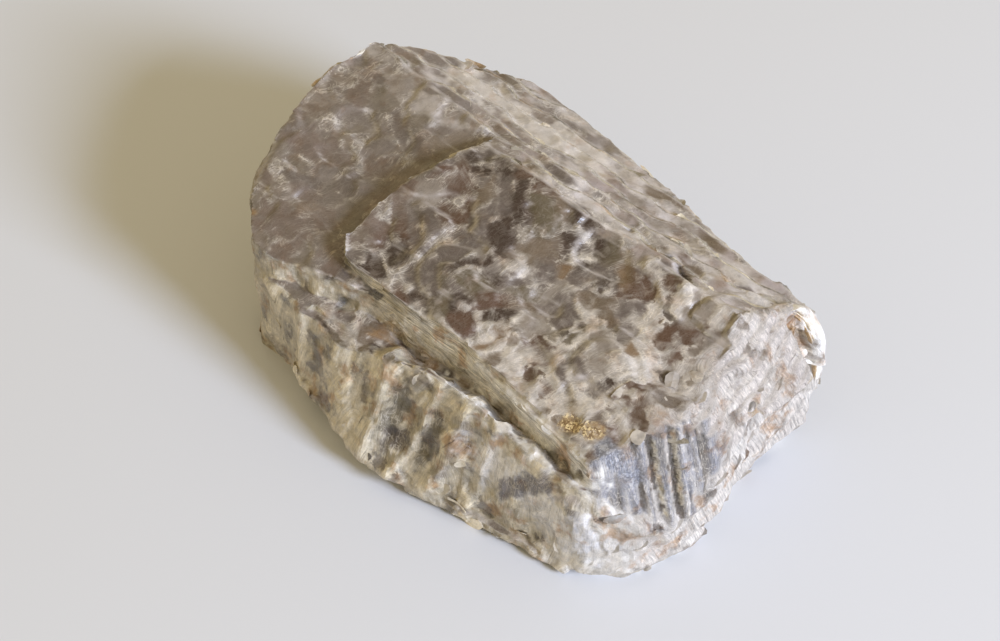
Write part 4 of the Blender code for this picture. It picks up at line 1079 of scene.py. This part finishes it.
# Brown-grey mica split and broken by hand. Where a sheet is whole it is a clear, glassy brown pane; where it is
# bruised, air between the sheets makes a dull cream web of fine threads; broken edges show the sheets as lines.
micaFinish = {
    "ior": 1.58,  # mica across the sheets
    "coat": 0.12, "coatRoughness": 0.25, "sparkleSize": 0.36,
    "weights": ("onTop", "onFront", "onWall", "onEnd", "pane", "brassy", "silvery"),
    "noises": {  # size in mm, or across and twice along the streak lines; then detail, roughness and warp
        "wander": (1.3, 6, 0.66, 0.5), "fade": (4.5, 2, 0.55, 0), "veil": (3.2, 5, 0.62, 0.8),
        "patchy": (3.5, 3, 0.55, 0), "gold": (0.9, 3, 0.6, 0), "blotch": (2.2, 4, 0.6, 0),
        "fine": (0.4, 4, 0.7, 0), "warm": (5.0, 4, 0.6, 0), "loop": (2.6, 2, 0.6, 0.5),
        "fibre": ((1.1, 6.0, 6.0), 2, 0.6, 0.6), "fineFibre": ((0.5, 3.5, 3.5), 2, 0.6, 0.8),
        "streak": ((0.5, 7.0, 7.0), 5, 0.65, 0.3), "fineStreak": ((0.22, 2.5, 2.5), 3, 0.6, 0.4),
        "seam": ((0.9, 16.0, 16.0), 2, 0.55, 0),
    },
    "lines": {  # a thin line wherever a noise passes through its middle: outer and inner half width
        "fibre": (0.035, 0.007), "fineFibre": (0.045, 0.009), "loop": (0.028, 0.0056), "seam": (0.04, 0.005),
    },
    "steps": {  # each is made of numbers, tints, noises, lines, the skin's weights and the steps before it
        # Pane or web: the field from the skin, made ragged by 1.3 mm noise, fades over a width that varies.
        "offTop": ("SUBTRACT", 1, "onTop"), "wandered": ("MULTIPLY_ADD", "wander", 1.3, -0.65),
        "field": ("ADD", "pane", "wandered"), "width": ("ramp", "fade", 0.36, 0.62, 0.2, 1.6),
        "depth": ("DIVIDE", "field", "width"), "inPane": ("ramp", "depth", -0.25, 1),
        "veiled": ("ramp", "veil", 0.46, 0.68, 0, 0.6), "clouded": ("MULTIPLY", "veiled", "onTop"),
        "clear": ("SUBTRACT", 1, "clouded"), "shown": ("MULTIPLY", "inPane", "clear"),
        "bare": ("mix", "shown", "web", "paneTint"),
        # Threads: loops and fibres, strong in the web and faint in the panes, and a pale halo at pane edges.
        "fibreWhere": ("ramp", "patchy", 0.38, 0.55), "fibres": ("MULTIPLY", "fibreLine", "fibreWhere"),
        "fineWhere": ("ramp", "patchy", 0.6, 0.42), "fineFibres": ("MULTIPLY", "fineFibreLine", "fineWhere"),
        "loopWhere": ("ramp", "patchy", 0.44, 0.56), "loops": ("MULTIPLY", "loopLine", "loopWhere"),
        "allFibres": ("MAXIMUM", "fibres", "fineFibres"), "strands": ("MAXIMUM", "allFibres", "loops"),
        "faint": ("MULTIPLY_ADD", "inPane", -0.74, 0.82), "strandsSeen": ("MULTIPLY", "strands", "faint"),
        "fromEdge": ("ABSOLUTE", "field"), "edge": ("ramp", "fromEdge", 0.16, 0.03, 0, 0.75),
        "edgeWhere": ("ramp", "patchy", 0.4, 0.6), "edges": ("MULTIPLY", "edge", "edgeWhere"),
        "halo": ("ramp", "fromEdge", 0.7, 0, 0, 0.22), "rims": ("MAXIMUM", "edges", "halo"),
        "rimsOnTop": ("MULTIPLY", "rims", "onTop"), "allThreads": ("MAXIMUM", "strandsSeen", "rimsOnTop"),
        "fewer": ("MULTIPLY_ADD", "offTop", -0.45, 1), "threads": ("MULTIPLY", "allThreads", "fewer"),
        "threaded": ("mix", "threads", "bare", "#d3c9ba"),
        # Light and dark: blotches, grain and streaks along the flow, all quieter in the panes.
        "calmEnd": ("MULTIPLY_ADD", "onEnd", -0.5, 1), "rougher": ("MULTIPLY_ADD", "offTop", 0.5, 0.5),
        "calmWall": ("MULTIPLY_ADD", "onWall", -0.25, 1),
        "calm": ("MULTIPLY_ADD", "onFront", -0.55, "calmWall"),
        "streaky": ("MULTIPLY_ADD", "offTop", 1.1, 0.25), "streakShare": ("MULTIPLY", "streaky", "calm"),
        "blotches": ("MULTIPLY_ADD", "blotch", 1.3, -0.65), "grit": ("MULTIPLY_ADD", "fine", 0.6, -0.3),
        "streaks": ("MULTIPLY_ADD", "streak", 1.7, -0.85),
        "fineStreaks": ("MULTIPLY_ADD", "fineStreak", 0.8, -0.4),
        "blotched": ("MULTIPLY", "blotches", "calmEnd"),
        "grained": ("MULTIPLY_ADD", "grit", "rougher", "blotched"),
        "streaked": ("MULTIPLY_ADD", "streaks", "streakShare", "grained"),
        "fineStreaked": ("MULTIPLY_ADD", "fineStreaks", "streakShare", "streaked"),
        "wholePane": ("MULTIPLY", "inPane", "onTop"), "quiet": ("MULTIPLY_ADD", "wholePane", -0.45, 1),
        "shade": ("MULTIPLY_ADD", "fineStreaked", "quiet", 1), "light": ("MAXIMUM", "shade", 0.25),
        "lit": ("scaled", "threaded", "light"),
        # Painted shade in the gaps and seams between the sheets, then gold and silver grains of painted glints
        # and sheen, then a rusty warmth.
        "gap": ("ramp", "streak", 0.38, 0.28, 0, 0.6), "gaps": ("MULTIPLY", "gap", "offTop"),
        "gapShaded": ("mix", "gaps", "lit", "#39312a"), "seamPale": ("MULTIPLY", "seamLine", 0.5),
        "seams": ("MULTIPLY", "seamPale", "onWall"), "seamShaded": ("mix", "seams", "gapShaded", "#39312a"),
        "glitter": ("ramp", "gold", 0.4, 0.56), "brass": ("MULTIPLY", "brassy", "glitter"),
        # Painted glints on the gold patch: each sparkle cell tinted from dark gold to pale gold.
        "goldGlintShare": ("ramp", "grain", 0.3, 0.8), "goldGlintTint": ("mix", "goldGlintShare", "#7a5f3d", "#ffe8b4"),
        "goldShare": ("MULTIPLY", "brass", 0.8), "gilded": ("mix", "goldShare", "seamShaded", "goldGlintTint"),
        # Painted sheen and glints on the silver patch: each sparkle cell tinted from dark to pale grey-blue.
        "silverGlintShare": ("ramp", "grain", 0.2, 0.9), "silverSheenTint": ("mix", "silverGlintShare", "#5c5d64", "#adaeb4"),
        "silverShare": ("MULTIPLY", "silvery", 0.45),
        "silvered": ("mix", "silverShare", "gilded", "silverSheenTint"),
        "warmWhere": ("ramp", "warm", 0.52, 0.68), "warmShare": ("MULTIPLY_ADD", "offTop", 0.35, 0.3),
        "warmth": ("MULTIPLY", "warmWhere", "warmShare"), "colour": ("tint", "warmth", "silvered", "#c79a62"),
        # Roughness: 0.62 in the web and 0.3 in the panes.
        "sheen": ("MULTIPLY_ADD", "inPane", -0.32, 0.62), "gritty": ("MULTIPLY_ADD", "fine", 0.25, -0.125),
        "roughness": ("ADD", "sheen", "gritty"), "metallic": ("MULTIPLY", "brass", 0.3),
        # Relief below the mesh's grain, and sparkles: each flake of a third of a millimetre leans its own way.
        "ridges": ("MULTIPLY", "threads", 0.35), "grains": ("MULTIPLY_ADD", "fine", 0.5, "ridges"),
        "bothStreaks": ("ADD", "streak", "fineStreak"),
        "lined": ("MULTIPLY_ADD", "bothStreaks", "streakShare", "grains"),
        "quietLined": ("MULTIPLY", "lined", "quiet"), "height": ("MULTIPLY", "quietLined", "rougher"),
        "bump": ("bump", 0.5, 0.3 * mm, "height"), "lean": ("moved", "cells", (-0.5, -0.5, -0.5)),
        "leanShare": ("MULTIPLY_ADD", "brass", 0.6, 0.3), "leaning": ("scaled", "lean", "leanShare"),
        "tilted": ("moved", "bump", "leaning"), "sparkle": ("unit", "tilted"),
    },
}

stepNodes = {  # node, settings, the sockets that a step's values go to, output; any other step is a Math node
    "ramp": ("MapRange", {"interpolation_type": "SMOOTHSTEP"},
             ("Value", "From Min", "From Max", "To Min", "To Max"), 0),
    "mix": ("Mix", {"data_type": "RGBA"}, (0, 6, 7), 2),
    "tint": ("Mix", {"data_type": "RGBA", "blend_type": "MULTIPLY"}, (0, 6, 7), 2),
    "scaled": ("VectorMath", {"operation": "SCALE"}, (0, "Scale"), 0),
    "moved": ("VectorMath", {"operation": "ADD"}, (0, 1), 0),
    "unit": ("VectorMath", {"operation": "NORMALIZE"}, (0,), 0),
    "bump": ("Bump", {}, ("Strength", "Distance", "Height"), 0),
}


def splitMica():
    # Weights and tints from the skin, noises and lines, then the steps in a row, each under its own name.
    material = bpy.data.materials.new("splitMica")
    material.use_nodes = True
    tree = material.node_tree
    tree.nodes.clear()
    finish = micaFinish
    place = addNode(tree, "TexCoord", {}, "Object")
    flow = addNode(tree, "Attribute", {"attribute_name": "flow"}, "Vector")
    made = {name: addNode(tree, "Attribute", {"attribute_name": name}, "Fac") for name in finish["weights"]}
    for name in ("web", "paneTint"):
        made[name] = addNode(tree, "Attribute", {"attribute_name": name}, "Color")
    for name, (size, detail, rough, warp) in finish["noises"].items():
        values = {"Detail": detail, "Roughness": rough, "Distortion": warp}
        if isinstance(size, tuple):
            vector = addNode(tree, "Mapping", {"vector_type": "TEXTURE", "Scale": size, "Vector": flow})
            values.update({"Scale": 1, "Vector": vector})
        else:
            values.update({"Scale": 1 / (size * mm), "Vector": place})
        made[name] = addNode(tree, "TexNoise", values, "Fac")
    for name, (outer, inner) in finish["lines"].items():
        away = addNode(tree, "Math", {"operation": "SUBTRACT", 0: made[name], 1: 0.5})
        away = addNode(tree, "Math", {"operation": "ABSOLUTE", 0: away})
        values = {"interpolation_type": "SMOOTHSTEP", "Value": away, "From Min": outer, "From Max": inner}
        made[name + "Line"] = addNode(tree, "MapRange", values)
    cells = {"Scale": 1 / (finish["sparkleSize"] * mm), "Vector": place}
    made["cells"] = addNode(tree, "TexVoronoi", cells, "Color")
    made["grain"] = addNode(tree, "SeparateColor", {0: made["cells"]})
    for name, (step, *values) in finish["steps"].items():
        kind, settings, sockets, output = stepNodes.get(step, ("Math", {"operation": step}, (0, 1, 2), 0))
        for socket, value in zip(sockets, values):
            if isinstance(value, str):
                value = toLinear(value) if value.startswith("#") else made[value]
            settings = {**settings, socket: value}
        made[name] = addNode(tree, kind, settings, output)
    surface = addNode(tree, "BsdfPrincipled", {
        "IOR": finish["ior"], "Coat Weight": finish["coat"], "Coat Roughness": finish["coatRoughness"],
        "Coat IOR": finish["ior"], "Base Color": made["colour"], "Roughness": made["roughness"],
        "Metallic": made["metallic"], "Normal": made["bump"], "Coat Normal": made["sparkle"],
    })
    addNode(tree, "OutputMaterial", {"Surface": surface})
    print("mica ready:", len(tree.nodes), "nodes")
    return material


stone, skinPoints, skinNormals, skinWeights = stoneSkin()
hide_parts("mica_crystal")
looseSheets = loosePiece("mica_flakes", *looseFlakes(skinPoints, skinNormals, skinWeights))
curled = loosePiece("mica_curl", *curledSheets())
mica = splitMica()
for piece in (stone, looseSheets, curled):
    piece.data.materials.clear()
    piece.data.materials.append(mica)
    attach(piece, "root")


# floor, light and camera

studio = {
    "floor": "#d9dadd", "floorRoughness": 0.5, "floorHalf": 1.5, "sky": "#ffedc2", "skyStrength": 0.56,
    "keyTurn": 93, "keyHeight": 27, "keyAway": 1.5, "keySize": 0.43, "keyPower": 34.0, "keyColour": "#d6e3ff",
    "azimuth": 42, "elevation": 48, "away": 0.445, "aim": (0.004, -0.006, 0.020), "lens": 85, "sensor": 36,
}


def towards(turn, height):
    # The unit vector at a turn from -Y towards +X and a height over the ground, in degrees.
    a, e = math.radians(turn), math.radians(height)
    return Vector((math.sin(a) * math.cos(e), -math.cos(a) * math.cos(e), math.sin(e)))


def facing(place, back):
    # A lamp or a camera at the place, looking against the direction back.
    return Matrix.Translation(place) @ back.to_track_quat("Z", "Y").to_matrix().to_4x4()


def makeStudio():
    side = np.array([-studio["floorHalf"], studio["floorHalf"]])
    x, y = np.meshgrid(side, side)
    points = np.stack([x.ravel(), y.ravel(), np.zeros(4)], axis=1) / mm
    floor = bpy.data.objects.new("floor", meshFrom("floor", points, [[0, 1, 3, 2]]))
    paint = bpy.data.materials.new("matPaintedBoard")  # painted board, rolled: even, with a faint sheen
    paint.use_nodes = True
    shader = paint.node_tree.nodes["Principled BSDF"]
    shader.inputs["Base Color"].default_value = toLinear(studio["floor"])
    shader.inputs["Roughness"].default_value = studio["floorRoughness"]
    floor.data.materials.append(paint)
    bpy.context.scene.collection.objects.link(floor)
    world = bpy.data.worlds.new("room")
    bpy.context.scene.world = world
    world.use_nodes = True
    sky = world.node_tree.nodes["Background"]
    sky.inputs["Color"].default_value = toLinear(studio["sky"])
    sky.inputs["Strength"].default_value = studio["skyStrength"]
    lamp = bpy.data.lights.new("window", "AREA")
    lamp.size = studio["keySize"]
    lamp.energy = studio["keyPower"]
    lamp.color = toLinear(studio["keyColour"])[:3]
    key = bpy.data.objects.new("window", lamp)
    away = towards(studio["keyTurn"], studio["keyHeight"])
    key.matrix_world = facing(away * studio["keyAway"], away)
    bpy.context.scene.collection.objects.link(key)
    camera = bpy.data.cameras.new("camera")
    camera.lens = studio["lens"]
    camera.sensor_width = studio["sensor"]
    eye = bpy.data.objects.new("camera", camera)
    back = towards(studio["azimuth"], studio["elevation"])
    at = Vector(studio["aim"]) + Vector(rowShift * mm) + back * studio["away"]
    eye.matrix_world = facing(at, back)
    bpy.context.scene.collection.objects.link(eye)
    bpy.context.scene.camera = eye
    bpy.context.scene.view_settings.view_transform = "Standard"
    print("studio ready")


makeStudio()
